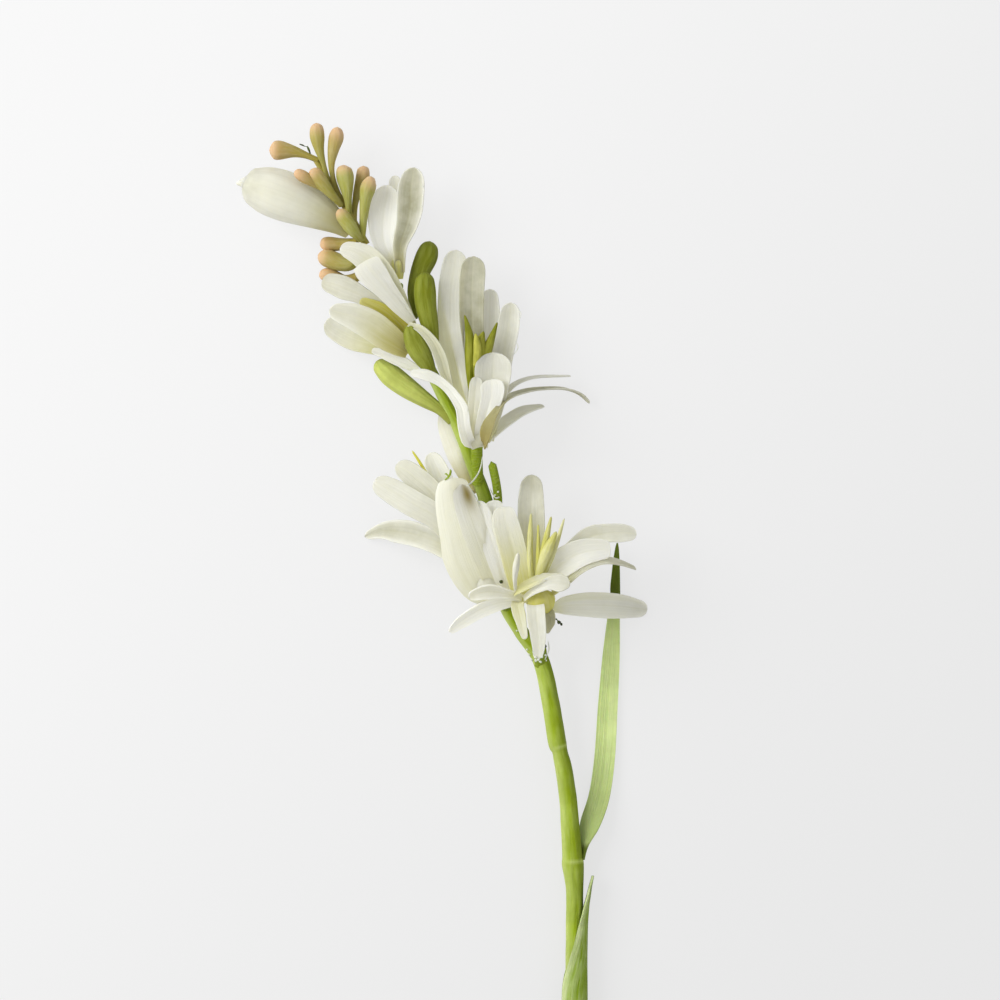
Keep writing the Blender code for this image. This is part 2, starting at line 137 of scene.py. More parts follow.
# Short stalks on the stem that carry the blooms, and the bare stub, as on the stem.
STEM_STALKS = [
    [(540, 666, 26, 6), (541, 655, 32, 6), (540, 645, 38, 6)],
    [(504, 606, 30, 5), (506, 606, 36, 5.5), (506.5, 604, 40, 6)],
    [(478, 484, 37, 6), (477, 466, 42, 5.8), (476.5, 440, 46, 6.2)],
    [(421, 358, 38, 4.5), (421, 357, 43, 4.5), (419.5, 355.5, 46.5, 4.2)],
    [(396, 297, 38, 4), (399, 288, 39, 4), (399, 282, 40, 4)],
    [(496, 520, 33, 4), (498, 503, 36, 4.4), (496.5, 485, 40, 4.3), (492.5, 466, 42, 4.2),
     (491, 461, 42, 2.6)],
]

# Petals: points of the midline from root to tip, each x, y, z and the width to the left
# and to the right of the way it runs; then the turn about the midline in degrees (0
# faces up), the lift of the edges as a share of the width, and what sets this petal
# apart from PLAIN. A turn or a shade may be two numbers, at the root and at the tip.
# In PLAIN, point and power round off the tip, ruffle and groove are the heights of the
# waves and of the middle groove in squares, and the others are tones: throat is the
# yellow green of the root and deep how far it reaches, olive darkens the root (in deep
# folds as painted shade), shade is painted grey green shade, brown is a worn brown spot
# near the tip, and the rim tone is a painted highlight that clears the painted shade from
# the edges. A fold is a line (places across the petal from -1 to 1, at even steps from
# root to tip) and how far the petal steps up there in squares; a tint is such a line and
# how green the petal is to its left. A tube is the bloom's solid heart.
PLAIN = {"point": 1.2, "power": 2.2, "ruffle": 1.2, "groove": 0.5, "throat": 0.5, "deep": 0.45,
         "shade": 0.3,
         "brown": 0.0, "olive": 0.0, "rim_highlight": 0.0, "folds": (), "tint": ((-2, -2), 0.0)}
LOWER_RIGHT = [
    ([(533, 596, 63, 8, 8), (532, 560, 55, 12, 12), (531.5, 530, 50, 13.5, 13.5),
      (531, 500, 48.5, 13, 13), (532, 474.5, 48, 9.5, 9.5)], 0, 0.3,
     {"shade": (0.2, 0.75), "deep": 0.75, "throat": 0.9}),
    ([(528, 600, 64, 8, 8), (521, 586, 70, 11, 11), (513, 550, 76, 13.5, 13), (506, 523, 77, 13, 12.5),
      (503.5, 507, 75, 9.5, 9)], 0, 0.1,
     {"shade": (0.4, 0.25), "deep": 1.0, "throat": 0.75, "point": 0.5, "power": 2.6}),
    ([(520, 600, 70, 4, 3), (500, 602, 76, 7, 6), (480, 609, 80, 8, 7), (462, 620, 81, 7, 6),
      (450, 631, 80, 3, 3)], 25, 0.3, {"shade": 0.0, "throat": 0.1}),
    ([(522, 597, 74, 3, 3), (505, 593, 84, 4, 5), (490, 591, 90, 7, 8), (478, 593, 90, 6, 6),
      (470, 597, 88, 3, 4)], 20, 0.3, {"shade": 0.45, "throat": 0.3, "rim_highlight": 0.8}),
    ([(540, 588, 58, 6, 6), (556, 566, 66, 7, 8), (572, 551, 71, 9, 9), (590, 537, 75, 10.5, 9),
      (607, 533, 77, 9, 8.5), (622, 532.5, 77, 8, 9), (635.5, 534.5, 74, 5, 5)], 0, 0.3,
     {"shade": 0.55, "deep": 0.5, "throat": 0.9, "rim_highlight": 0.4}),
    ([(539, 588, 62, 7, 7), (548.5, 574, 72, 11, 11), (564, 561.5, 81, 14, 13.5),
      (580.5, 552.5, 86, 13, 13), (596, 549.5, 86, 10.5, 11), (609, 549, 84, 8.5, 8.5)], 0, 0.25,
     {"shade": (0.2, 0.05), "deep": 0.4, "throat": 0.8, "point": 0.5, "power": 2.6}),
    ([(552, 594, 64, 5, 5), (569, 581, 84, 6, 6), (582, 570.5, 90, 7, 7), (596, 563.5, 90, 7.5, 7),
      (608, 561.5, 86, 6.5, 6.5), (620, 563.5, 78, 5, 5), (635, 568.5, 66, 2.5, 2.5)], 60, 0.3,
     {"shade": 0.8}),
    ([(541, 606, 56, 5, 5), (552, 607, 53, 4, 5), (560, 606, 51, 8, 8), (570, 605, 48, 10.5, 10.5),
      (584, 604.8, 42, 12.5, 12), (602, 605.5, 32, 13, 13), (621, 607, 16, 12, 12),
      (636, 609, 6, 9.5, 9.5), (648.5, 610.5, 2, 7, 7)], 0, 0.3,
     {"shade": (0.15, 0.4), "throat": 0.5, "deep": 0.25, "rim_highlight": 0.6, "tint": ((-0.3, -0.6), 0.22)}),
    ([(534, 612, 66, 7, 7), (535.2, 605, 81, 8.6, 8.6), (536.2, 618, 86, 8.6, 8.8),
      (537.6, 633, 87, 7.8, 7.8), (538.2, 647, 86, 6, 5.8), (537.2, 657.5, 84, 4, 4)], 0, 0.15,
     {"shade": 0.32, "throat": 0.0}),
    ([(524, 602, 68, 5, 5), (517.5, 604, 74, 6, 6), (520, 618, 77, 5.5, 5.5), (525, 638, 77, 2.5, 2.5)],
     0, 0.2, {"shade": 0.1, "throat": 0.45, "deep": 1.5}),
    ([(514, 594, 80, 2, 2), (520, 589, 84, 4, 4), (529, 584, 87, 5, 5), (542, 578, 90, 5, 5),
      (559, 575, 90, 2, 2)], 40, 0.3, {"shade": 0.3, "throat": 0.6, "deep": 1.2}),
    ([(524, 598, 76, 2.5, 2.5), (531, 592, 86, 3, 3), (540, 587, 91, 4, 4), (550, 583, 95, 6.5, 6),
      (560, 582.5, 99, 8.5, 8.5), (568.5, 584.5, 100, 5.5, 5.5)], 15, 0.3,
     {"shade": (0.0, 0.5), "throat": 0.2}),
    # This small petal under the bloom's heart is painted fully in the grey green shade.
    ([(546, 609, 66, 4, 4), (549.5, 614, 68, 5, 4.5), (550, 621, 67, 4.6, 4),
      (547, 632.5, 66, 1.6, 1.6)], 0, 0.2, {"shade": (1.5, 1.3), "throat": 0.1}),
]
LOWER_RIGHT_TUBE = [(538, 648, 40, 5), (538.5, 630, 48, 5), (539.5, 617, 56, 7), (540.5, 606, 61, 13),
                    (540, 596, 68, 15), (539, 589, 70, 12)]
LOWER_LEFT = [
    ([(475, 566, 50, 12, 12), (452, 532, 48, 13, 13), (435, 516, 45, 13, 13),
      (412, 503, 42, 13.5, 13.5), (398, 494.5, 38, 13.5, 13), (385, 487.5, 35, 11.5, 11.5),
      (373.5, 481, 32, 8.5, 8.5)], 0, 0.25, {"shade": (0.45, 0.35)}),
    ([(474, 560, 44, 11, 11), (450, 518, 40, 12, 12), (432, 493, 36, 12, 12), (418, 480, 33, 12, 12),
      (406, 470.5, 30, 10.5, 10.5), (395.5, 464.5, 28, 7.5, 7.5)], 0, 0.25, {"shade": (0.7, 0.45)}),
    ([(478, 556, 40, 10, 10), (458, 512, 28, 11, 11), (444, 484, 20, 11, 11), (435, 465, 16, 10, 10),
      (429.5, 452.5, 14, 7, 7)], 0, 0.25, {"shade": 0.1}),
    ([(470, 562, 52, 10, 10), (452, 550, 46, 12, 12), (434, 541, 38, 12, 12),
      (415, 534.5, 28, 12.5, 12.5), (398, 532, 20, 11.5, 12), (383, 531.5, 12, 8.5, 8.5),
      (364, 537, 3, 3.5, 3.5)], 0, 0.3,
     {"shade": (0.7, 0.8), "point": 2.2, "rim_highlight": 0.9, "folds": (((0.75, 0.3), 1.6),), "throat": 0.2}),
    ([(506, 605, 46, 6, 6), (491, 592, 58, 22, 14), (480, 575, 68, 27, 25), (471.5, 553, 75, 29, 28),
      (464, 532, 79, 24.5, 25), (457, 509, 81, 21, 20.5), (453.5, 490, 80, 18, 17),
      (452.5, 477.5, 77, 12.5, 13)], 0, -0.3,
     {"shade": (0.2, 0.1), "brown": 0.25, "throat": 0.2, "deep": 2.0, "point": 0.45, "power": 2.8,
      "groove": 0.0, "folds": (((-0.9, -0.75, -0.85), 1.6), ((-0.4, -0.55, -0.6), -1.0)),
      "tint": ((-0.3, -0.1, -0.35, -0.6, -0.8), 0.26)}),
    ([(503, 601, 54, 5, 5), (493, 577, 67, 11, 10), (480, 542, 77, 14, 12), (470, 515, 80.5, 13, 11.5),
      (464.5, 497, 80.5, 11.5, 10), (461.5, 484.5, 79, 8, 7)], -12, -0.1,
     {"shade": (0.1, 0.0), "brown": 1.0, "throat": 0.35, "deep": 1.2, "groove": 0.0,
      "folds": (((0.1, 0.3, 0.2), 1.0),)}),
    ([(509, 602, 52, 5, 5), (504, 580, 66, 9, 8), (495, 548, 75, 12, 10), (484, 520, 76, 10, 10),
      (477, 501, 74, 6, 7)], -4, -0.1, {"shade": 0.0, "throat": 0.3}),
    ([(512, 600, 50, 5, 5), (508, 575, 58, 8, 7), (501, 545, 65, 11, 9), (496, 520, 67, 13, 9),
      (493.5, 500, 66, 9, 9)], -8, 0.0, {"shade": 0.0, "throat": 0.4, "deep": 0.8, "point": 0.8}),
]
LOWER_LEFT_TUBE = [(506, 602, 46, 6), (499, 596, 49, 9), (490, 586, 54, 13), (478, 570, 58, 15)]
LOWER_LEFT_STAMEN = [(470, 550, 48, 1.4), (446, 508, 32, 1.4), (423, 468, 30, 1.6),
                     (411.5, 450, 28, 1.0)]
MIDDLE = [
    ([(476, 444, 54, 9, 9), (470, 415, 54, 11, 11), (460, 380, 51, 13, 13), (453, 345, 47, 14, 14),
      (450.5, 315, 44, 13, 13), (451, 290, 42, 12.5, 12.5), (454, 268, 41, 12.5, 13.5),
      (456.5, 249.5, 40, 9, 9)], 0, 0.2,
     {"shade": (0.0, 0.55), "deep": 0.6, "throat": 0.2,
      "folds": (((-0.1, 0.15, 0.1, -0.1, -0.95, -1.3), 3.4),),
      "tint": ((-0.1, 0.15, 0.1, -0.1, -0.95, -1.3), 0.55)}),
    ([(480, 442, 54, 8, 8), (476, 395, 52, 9, 10), (474, 355, 50, 10, 11), (472, 320, 48.5, 12.5, 12),
      (472, 290, 47, 13, 12.5), (473, 270, 46, 12.5, 12.5), (474, 256, 45, 8.5, 8.5)], 0, 0.3,
     {"shade": (1.0, 1.05), "deep": 0.6, "throat": 0.7}),
    ([(482, 440, 47, 8, 8), (485, 380, 42, 12, 12), (489, 330, 38, 11, 11), (490, 305, 36, 10, 9.5),
      (490, 288.5, 35, 7, 7)], 0, 0.3, {"shade": (0.3, 0.25), "deep": 0.7, "throat": 0.5}),
    ([(486, 440, 48, 8, 8), (495, 400, 46, 11, 10), (503, 355, 43, 11, 10.5), (508, 330, 42, 11, 11),
      (510, 315, 42, 10.5, 10), (511, 302, 42, 7.5, 7.5)], 0, 0.3,
     {"shade": (0.5, 0.55), "deep": 0.6, "throat": 0.4, "rim_highlight": 0.6}),
    ([(483, 441, 58, 7, 7), (488, 415, 66, 13, 13), (492, 388, 72, 17, 16.5),
      (493.5, 369, 71, 18.5, 18), (493.5, 353, 68, 13, 13)], 0, 0.25,
     {"shade": (0.7, 0.4), "throat": 0.5, "point": 1.0}),
    ([(478, 446.5, 60, 6, 6), (475, 440, 65, 9, 8), (473.5, 428, 69, 8.5, 8), (474, 412, 74, 6.5, 7.5),
      (475, 398, 77, 6.4, 7), (476, 386, 77, 6.4, 7), (478, 377.5, 76, 4.6, 4.6)], 0, 0.15,
     {"shade": 0.4, "throat": 0.2, "deep": 1.4, "point": 0.9}),
    ([(481, 446, 62, 6, 7), (482.5, 430, 72, 7.5, 8), (486.5, 414, 79, 8, 9),
      (490.5, 400, 81, 9.5, 11.5), (492.5, 389, 81, 11.5, 12), (491.5, 380.5, 80, 10, 8.5)], 8, 0.15,
     {"shade": (0.25, 0.1), "throat": 0.15, "point": 0.55, "power": 2.4,
      "folds": (((-0.2, 0.1, 0.0), 1.2),)}),
    ([(474, 444.5, 60, 4, 4), (467.5, 439.5, 68, 7, 6.5), (464.2, 427, 74, 6.6, 6.4),
      (462.5, 410, 74, 6.4, 6.4), (455.5, 397.5, 72, 5.6, 5.6), (447, 387.5, 70, 5, 5),
      (437, 380, 69, 5.2, 5.2), (425, 375.2, 69, 5.8, 5.6), (410.5, 373.5, 67, 3.5, 3.5)], 0, 0.25,
     {"shade": 0.0, "throat": 0.0}),
    # This long petal's root is painted dark olive and fully grey green as the shade in the fold where the
    # petals curl together.
    ([(484, 446.5, 62, 3, 3), (485, 439, 80, 6.5, 6.5), (488.5, 427, 88, 7, 6.5),
      (494, 415, 90, 4.4, 4.4), (501.5, 405, 82, 3.6, 3.6), (510, 398, 64, 5, 5),
      (520, 393.5, 45, 6, 6), (537, 389.5, 32, 6, 6), (563, 388.5, 20, 6, 6), (579, 393.5, 13, 6, 6),
      (590, 402.5, 7.6, 3, 3)], (0, 70), 0.2,
     {"shade": (1.6, 0.8), "throat": 0.25, "olive": 0.9, "deep": 0.6, "rim_highlight": 0.2}),
    ([(486, 436, 52, 5, 5), (496, 408, 46, 5.5, 5.5), (505, 395, 42, 5.5, 5.5), (518, 383, 36, 5, 5),
      (537, 377, 28, 4.5, 4.5), (571, 375.5, 17, 2.5, 2.5)], 70, 0.2, {"shade": 0.4, "throat": 0.4}),
    ([(488, 441, 52, 5, 5), (497, 432, 50, 7, 7), (511, 420, 45, 9, 9), (526, 411.5, 39, 8, 8),
      (544, 406, 33, 3, 3)], 55, 0.3, {"shade": (0.15, 0.5), "throat": 0.1}),
]
MIDDLE_TUBE = [(478.5, 447, 46, 6), (478, 444, 45, 10), (477.5, 438, 44, 14), (478, 430, 44, 15.5),
               (480, 420, 45, 14)]
UPPER_LEFT = [
    ([(410, 330, 52, 8, 8), (402, 312, 54, 10, 10), (391, 291, 56, 12, 12), (380, 273, 57, 13, 13),
      (366, 258.5, 56, 13, 13), (352, 251.5, 55, 9.5, 9.5), (340, 249, 54, 6.5, 6.5)], 0, 0.05,
     {"shade": (0.75, 0.1), "throat": 0.35, "deep": 1.2, "groove": 0.0}),
    ([(413, 322, 59, 5, 4), (400, 306, 62, 9, 7.5), (388, 291, 64, 11.5, 9.5), (378, 278, 64, 15, 12),
      (370.5, 268, 63, 16.5, 13), (366.5, 261, 61, 14, 12)], 0, -0.05,
     {"shade": (0.4, 0.2), "point": 0.3, "power": 3.0, "throat": 0.1, "groove": 0.0,
      "folds": (((0.5, 0.3, 0.2), -0.8),)}),
    ([(400, 330, 46, 8, 8), (380, 310, 48, 9, 9), (362, 296, 48, 9, 9), (346, 288.5, 46, 12, 11.5),
      (333, 284, 42, 10.5, 10.5), (321.5, 281.5, 38, 7.5, 7.5)], 0, 0.25,
     {"shade": 0.65, "throat": 0.7}),
    # This narrow petal between the others is olive all over: partly the throat's own colour and partly
    # painted shade in the gap between the petals.
    ([(410, 340, 50, 8, 8), (396, 324, 53, 10, 10), (379, 310, 54, 9, 8), (360, 300.5, 52, 4, 4)], 0,
     0.2, {"shade": 0.5, "throat": 1.0, "deep": 3.0, "olive": 0.45}),
    ([(408, 352, 52, 7, 7), (400, 346, 56, 11, 11), (387, 337, 59, 14, 14), (372, 326, 61, 15, 15),
      (355, 317.5, 62, 13.5, 13.5), (341, 313.5, 61, 10, 10), (329.5, 310.5, 60, 6, 6)], 0, 0.25,
     {"shade": (0.7, 0.5), "throat": 0.6, "deep": 0.85, "olive": 0.55, "rim_highlight": 0.5}),
    ([(402, 352, 46, 8, 8), (380, 345, 38, 11, 11), (356, 337.5, 22, 13.5, 13), (336, 327.5, 6, 12, 12),
      (324, 320, 2, 8, 8)], 0, 0.25, {"shade": (0.8, 0.65), "throat": 0.5, "deep": 0.9}),
    ([(418, 370, 52, 4, 4), (400, 361, 50, 6, 6), (385, 354.5, 45, 5, 5), (372, 350, 38, 3, 3)], 0, 0.3,
     {"shade": 0.1, "throat": 0.1}),
]
UPPER_LEFT_TUBE = [(416, 352, 49.5, 4), (408, 347, 50, 6.5), (400, 340, 50, 8)]
OPENING_BUD = [
    ([(397, 270, 41, 6, 6), (390, 256, 41.5, 9, 8), (384.5, 244, 42, 11, 10),
      (382.5, 230, 42, 13.5, 14), (383.5, 214, 41, 15.5, 15), (386, 199, 38, 13.5, 13),
      (387.5, 184.5, 35, 8.5, 8.5)], 0, 0.3, {"shade": 0.0, "deep": 0.3, "olive": 0.4}),
    ([(400, 272, 43, 5, 5), (399.5, 255, 46, 6.5, 6.5), (401, 242, 49, 8.5, 8),
      (407, 225, 51, 11.5, 11), (410, 210, 52, 13.5, 13), (411, 194, 51, 14, 13.5),
      (412.5, 180, 50, 12, 12), (414.5, 167.5, 48, 7, 7)], 0, 0.3,
     {"shade": (1.2, 1.1), "deep": 0.35, "throat": 0.2, "olive": 0.5, "rim_highlight": 0.7}),
    ([(398, 264, 40, 6, 6), (396, 215, 32, 7, 7), (395, 190, 30, 7, 7), (394.5, 174.5, 28, 5, 5)], 0,
     0.3, {"shade": 0.3}),
]
OPENING_BUD_TUBE = [(399, 279, 40.5, 4), (398, 268, 41, 6.5), (397, 257, 42, 7.5)]

# Buds: axis points with the radius at each, from the stalk to the tip.
LARGE_BUD = [(348, 234.5, 36, 4), (335.5, 222.5, 36, 11.6), (318, 211.5, 36, 18.2),
             (290, 198.5, 37, 24.5), (268, 190.5, 37, 24), (254, 186, 37, 19.5), (246.5, 184, 37, 15),
             (241.5, 182.5, 37, 9)]
LARGE_BUD_SPIKE = [(252, 184, 37, 12), (245, 183, 37, 8), (240.5, 182.5, 37, 4), (235.5, 183, 37, 1.2)]
BEHIND_BUD = [(474, 492, 25.5, 3.5), (470, 482, 20, 8), (460, 452, 16.5, 14), (449, 424, 16.5, 12),
              (442, 408, 17, 4)]
GREEN_BUDS = {
    "bud_green_high": [(414.5, 318, 32, 3.2), (413.5, 305, 29, 4.5), (414.5, 290, 27, 7.5),
                       (420.5, 270, 26, 10),
                       (427, 254, 25, 11), (429.5, 240, 25, 7)],
    "bud_green_long": [(435, 352, 50, 4), (431, 330, 52, 8), (426.5, 308, 53, 10.5), (425, 290, 53, 11),
                       (425, 272.5, 53, 8)],
    "bud_green_left": [(452, 421, 36, 5), (440, 409.5, 35, 5.5), (425, 399.5, 32, 8),
                       (408, 388, 30, 10.5),
                       (392, 376, 27, 11.5), (382, 367, 23, 9.5), (375.5, 360.5, 21, 6)],
}
# How pale and how dark each closed green bud is.
BUD_TONES = {"bud_green_high": (0.0, 0.25), "bud_green_long": (0.0, 0.3), "bud_green_left": (0.8, 0.0)}
OPENING_GREEN = ([(409, 325, 70, 2, 2.5), (422, 330.5, 74, 3.4, 4), (433.5, 343, 73, 4.6, 5.4),
                  (440.5, 358, 68, 5.6, 6), (445, 373, 62, 5, 5), (451, 389, 57, 2.5, 2.5)], 0, 0.2,
                 {"shade": 0.45, "throat": 0.3, "deep": 2.0, "rim_highlight": 0.9})
OPENING_GREEN_BUD = [(433, 376, 54, 4), (427, 364, 60, 8), (419, 350, 65, 11), (413, 336, 67, 9.5),
                     (409, 325, 67, 5)]

# Tip spray: the stem's thin end and the small buds on it, with how green each bud is.
TIP_STEM = [(366, 244, 38, 3.8), (358, 230, 38, 3.8), (345, 206, 38, 3.6), (329, 181, 39, 3.2),
            (314, 157, 40, 2.8)]
TIP_BUDS = [
    ([(318, 160, 41, 2.8), (306, 155, 41, 3.4), (294, 151.5, 41, 5.8), (281, 150, 41, 9.4),
      (274, 150, 41, 9.2), (269, 150, 41, 6)], 0.1),
    ([(328, 180, 41, 2.5), (323.5, 164, 45, 2.5), (319.5, 150, 49, 4.8), (317.5, 138, 50, 7.3),
      (316.8, 129, 50, 6.8), (316, 123, 50, 4)], 0.5),
    ([(341, 200, 40, 2.5), (333.5, 180, 44, 2.5), (331.5, 165, 47, 3.2), (333.5, 150, 50, 5.8),
      (336.5, 137, 50, 7.5), (337.5, 127, 50, 4.2)], 0.3),
    ([(332, 194, 44, 2.4), (316, 185, 57, 3.8), (304, 177.5, 61, 6), (295, 172, 61, 4)], 0.0),
    ([(341, 205, 43, 3), (331, 194, 53, 4.6), (321, 182, 57, 7.4), (315, 174.5, 58, 7.4),
      (311, 170, 58, 4.3)], 0.45),
    ([(349, 213, 40, 3), (348, 200, 47, 4), (346.8, 189, 50, 6.6), (345.3, 177.5, 50, 8.8),
      (344, 169, 50, 7.4), (344, 165, 50, 4.6)], 0.9),
    ([(354, 225, 38, 2.7), (354.5, 206, 36, 3), (357.5, 191, 36, 4.6), (362, 178, 36, 6.9),
      (363, 169, 36, 6), (363, 165, 36, 3.6)], 0.3),
    ([(362, 240, 42, 3), (363.5, 220, 50, 4), (365.5, 201, 54, 5.8), (368, 189, 55, 7.8),
      (371.5, 182, 55, 6.4), (375, 179, 55, 3.6)], 0.8),
    ([(361, 240, 44, 3), (352, 229, 53, 6.6), (343.5, 217, 56, 7), (338, 210, 56, 4)], 0.7),
    ([(357, 240, 33, 2.7), (342, 243, 23, 6), (326, 243, 20, 7.4), (319, 244, 20, 4)], 0.0),
    ([(364, 244, 35, 2.7), (352, 262, 30, 6), (340, 262, 27, 8.5), (326, 257, 25, 9),
      (317, 254, 25, 4.6)], 0.4),
    ([(365, 246, 34, 2.7), (362, 270, 26, 4), (345, 280, 22, 6), (328, 274, 20, 7.4),
      (318, 275, 20, 4)], 0.0),
    ([(356, 231, 38, 3.6), (355, 231.5, 37.8, 3.6), (353.5, 232.5, 37.5, 3.6)], 0.5),
]

# Stamens: thin threads from one root in the bloom's throat, with the radius, and how
# pale each is.
STAMENS_RIGHT = [
    ([(533, 588, 76, 2.6), (530, 560, 77, 3), (530, 535, 78, 2.8), (531, 513, 79, 1)], 0.2),
    ([(535, 588, 76, 2.6), (541, 560, 79, 3), (546, 538, 81, 3.2), (551, 516, 82, 1)], 0.0),
    ([(536, 586, 78, 2.8), (541, 566, 88, 4.5), (548, 548, 94, 5), (556, 531, 98, 1.5)], 0.1),
    ([(538, 586, 76, 2), (550, 560, 86, 2.6), (557, 540, 88, 2.4), (564, 518, 88, 0.8)], 0.2),
    ([(536, 586, 76, 2), (538, 560, 78, 2.4), (538, 524, 80, 1)], 0.0),
    ([(516, 594, 76, 1.6), (514.8, 580, 90, 2.2), (515.8, 567, 97, 3.4), (517.2, 558, 98, 2.8),
      (518, 552, 99, 1)], 0.97),
]
STAMENS_MIDDLE = [
    ([(472, 398, 63, 2.4), (470.5, 376, 66, 4.2), (470.5, 356, 67, 5.8), (470, 341, 66, 5),
      (468, 328, 65, 3), (464.5, 315, 64, 0.8)], 0.0),
    ([(474, 384, 64, 3), (477, 364, 66, 6.8), (479, 351, 67, 7.4), (480.5, 342, 67, 5.4),
      (484, 331.5, 66, 0.8)], 0.1),
    ([(476, 378, 64, 3), (482.5, 361, 66, 6), (488, 348, 66, 5), (492.5, 336, 64, 3.2),
      (497.5, 322.5, 63, 0.8)], 0.05),
    ([(476, 366, 71, 3), (477.5, 354, 74, 4), (477, 344, 74, 3.6), (475.5, 334, 73, 1)], 0.55),
]

# Leaves: axis points with the width at each, then the turn of the blade about the axis.
LONG_LEAF = [
    (584.5, 862, 16.5, 6, 60), (586, 848, 15, 11, 45), (591, 828, 11, 21, 22), (600, 799, 5.5, 21.5, 8),
    (605.5, 760, 2.4, 21, 4), (608.5, 710, 1.4, 20, 0), (611.5, 665, 1.4, 18, 0), (615, 620, 3, 14, 24),
    (617.5, 590, 6, 13, 46), (619.5, 543, 13, 5, 50),
]

# Its surface as in PLAIN, where its tip begins to narrow, and the lift of its edges.
LEAF_LOOKS = {"groove": 0.5, "ruffle": 0.4, "folds": ()}
LEAF_TAPER, LEAF_CUP = 0.94, 0.05

# Clasping leaf: y, how far it reaches round the stem to each side in degrees, and how
# far it stands off to the right.
SHEATH = [
    (1116, 176, 0), (1060, 172, 0), (1000, 168, 0), (965, 120, 0), (945, 94, 0.4), (925, 70, 1.0),
    (905, 46, 2.6), (890, 30, 4.4), (878, 16, 6.0),
]

# The clasping leaf clears the stem's widest place within this many squares up and down.
SHEATH_LOOK = 8

# Small bits: crumbs and specks as x, y, z and radius; threads as axis points.
CRUMBS = [
    (527, 650, 31.4, 1.2), (529.5, 655, 30.2, 1.4), (533, 651, 86, 1.1), (535, 656, 86, 1.3),
    (538.3, 658.2, 84.6, 1.4), (541.5, 656, 86, 1.2), (543, 651, 86, 1.0), (536, 661, 33.2, 1.5),
    (540.5, 662, 35.3, 1.4), (545.5, 655, 36.5, 1.1), (532, 660, 28.9, 1.3), (546, 661, 31.6, 1.0),
    (517, 631, 34.9, 1.0), (521, 633, 35.2, 0.9), (514.4, 630, 31.8, 0.8), (423.3, 187, 55.9, 0.7),
    (423, 196, 56.2, 0.6), (421.8, 207, 57.6, 0.6), (405, 252, 48.4, 0.8), (402, 272, 44, 1.0),
    (498, 492, 43.2, 1.2), (495, 495, 41.9, 1.0), (468.4, 485.8, 78.6, 0.8),
]
SPECKS = [(501, 581.5, 67.6, 1.9), (559, 622, 60, 2.0), (561, 624, 60, 1.5), (544.8, 646, 42, 1.8),
          (556.4, 618.8, 63.4, 0.9)]
GLUE_THREADS = [
    [(467, 486, 79.2, 0.7), (473, 481, 66, 0.8), (478.5, 473, 55, 0.7), (481.5, 464, 49, 0.6),
     (482.4, 455, 45.6, 0.5)],
    [(499.5, 497, 41.6, 0.6), (496, 498, 41.4, 0.8), (492.6, 494, 38.8, 0.6), (490, 488, 40, 0.4)],
    [(468, 485, 77.6, 0.6), (474, 494, 76.6, 0.6), (481, 506, 75.6, 0.5)],
    [(513.3, 355, 46.8, 0.3), (518, 348, 48, 0.4), (515.8, 341, 48, 0.3)],
    [(519.3, 320, 47, 0.3), (521, 314, 47.4, 0.4), (518.3, 309, 46.4, 0.3)],
    [(545, 660, 34.3, 0.5), (549, 650, 38, 0.6), (548, 641, 42, 0.4)],
]
TWIG = [
    [(445, 480, 77, 0.6), (449, 477, 78, 1.0), (451, 472, 78, 1.1), (450.5, 469.5, 77, 0.6)],
    [(449, 477, 78, 0.8), (446.5, 474, 77.5, 0.8), (445, 474.5, 77, 0.4)],
]
DARK_THREADS = [
    [(299.5, 144, 44, 0.5), (302.5, 145, 44.5, 0.8), (304.5, 146, 44, 0.4), (307.2, 146.6, 44, 0.3)],
    [(307, 146, 44, 0.6), (308.5, 149, 44, 1.1), (310.4, 154, 43, 0.6)],
    [(551.5, 616.5, 68, 0.4), (556, 618.8, 64, 0.4), (559, 622, 60.5, 0.5), (561, 624, 60, 0.4)],
]

# The stage: the floor's reach and mottling; the glow behind the flower from the upper
# left to the lower right; lamps with their place, size and share of the key light's
# power, and the place they point at; and the camera's sensor in millimetres.
FLOOR_REACH = 6.0
FLOOR_MOTTLE = (0.72, 0.72, 0.72)
GLOW_BRIGHT, GLOW_DIM = (0.95, 0.95, 0.95), (0.83, 0.83, 0.83)
GLOW_SPAN = (-0.32, 0.28)
LAMPS = (("key", (-0.8, 0.4, 0.7), 0.7, 1.0), ("fill", (0.9, -0.5, 1.0), 1.2, 0.1))
LIT_PLACE = (0.0, 0.05, 0.0)
SENSOR_WIDTH = 36.0


# Sizes and colours.
def length(name, text, value):
    """Makes the property of a length in metres."""
    return FloatProperty(name=name, description=text, default=value, min=0.0, unit="LENGTH",
                         precision=5)


def share(name, text, value):
    """Makes the property of a share, which is seldom above 1."""
    return FloatProperty(name=name, description=text, default=value, min=0.0, soft_max=1.0,
                         subtype="FACTOR")


def colour(name, text, value):
    """Makes the property of a colour."""
    return FloatVectorProperty(name=name, description=text, default=value, size=3, min=0, max=1,
                               subtype="COLOR")


class TuberoseSizes(bpy.types.PropertyGroup):
    """Sizes of the flower's thin and fine parts."""
    petal_wall: length("Petal wall", "Thickness of a petal", 0.00042)
    leaf_wall: length("Leaf wall", "Thickness of a leaf", 0.0006)
    sheath_gap: length("Sheath gap", "Room between the stem and its clasping leaf", 0.0006)
    rib_height: share("Stem ribs", "Height of the stem's ribs as a share of its radius", 0.03)
    lap_step: share("Bud laps", "Height of the step where one petal of a bud laps the next", 0.05)


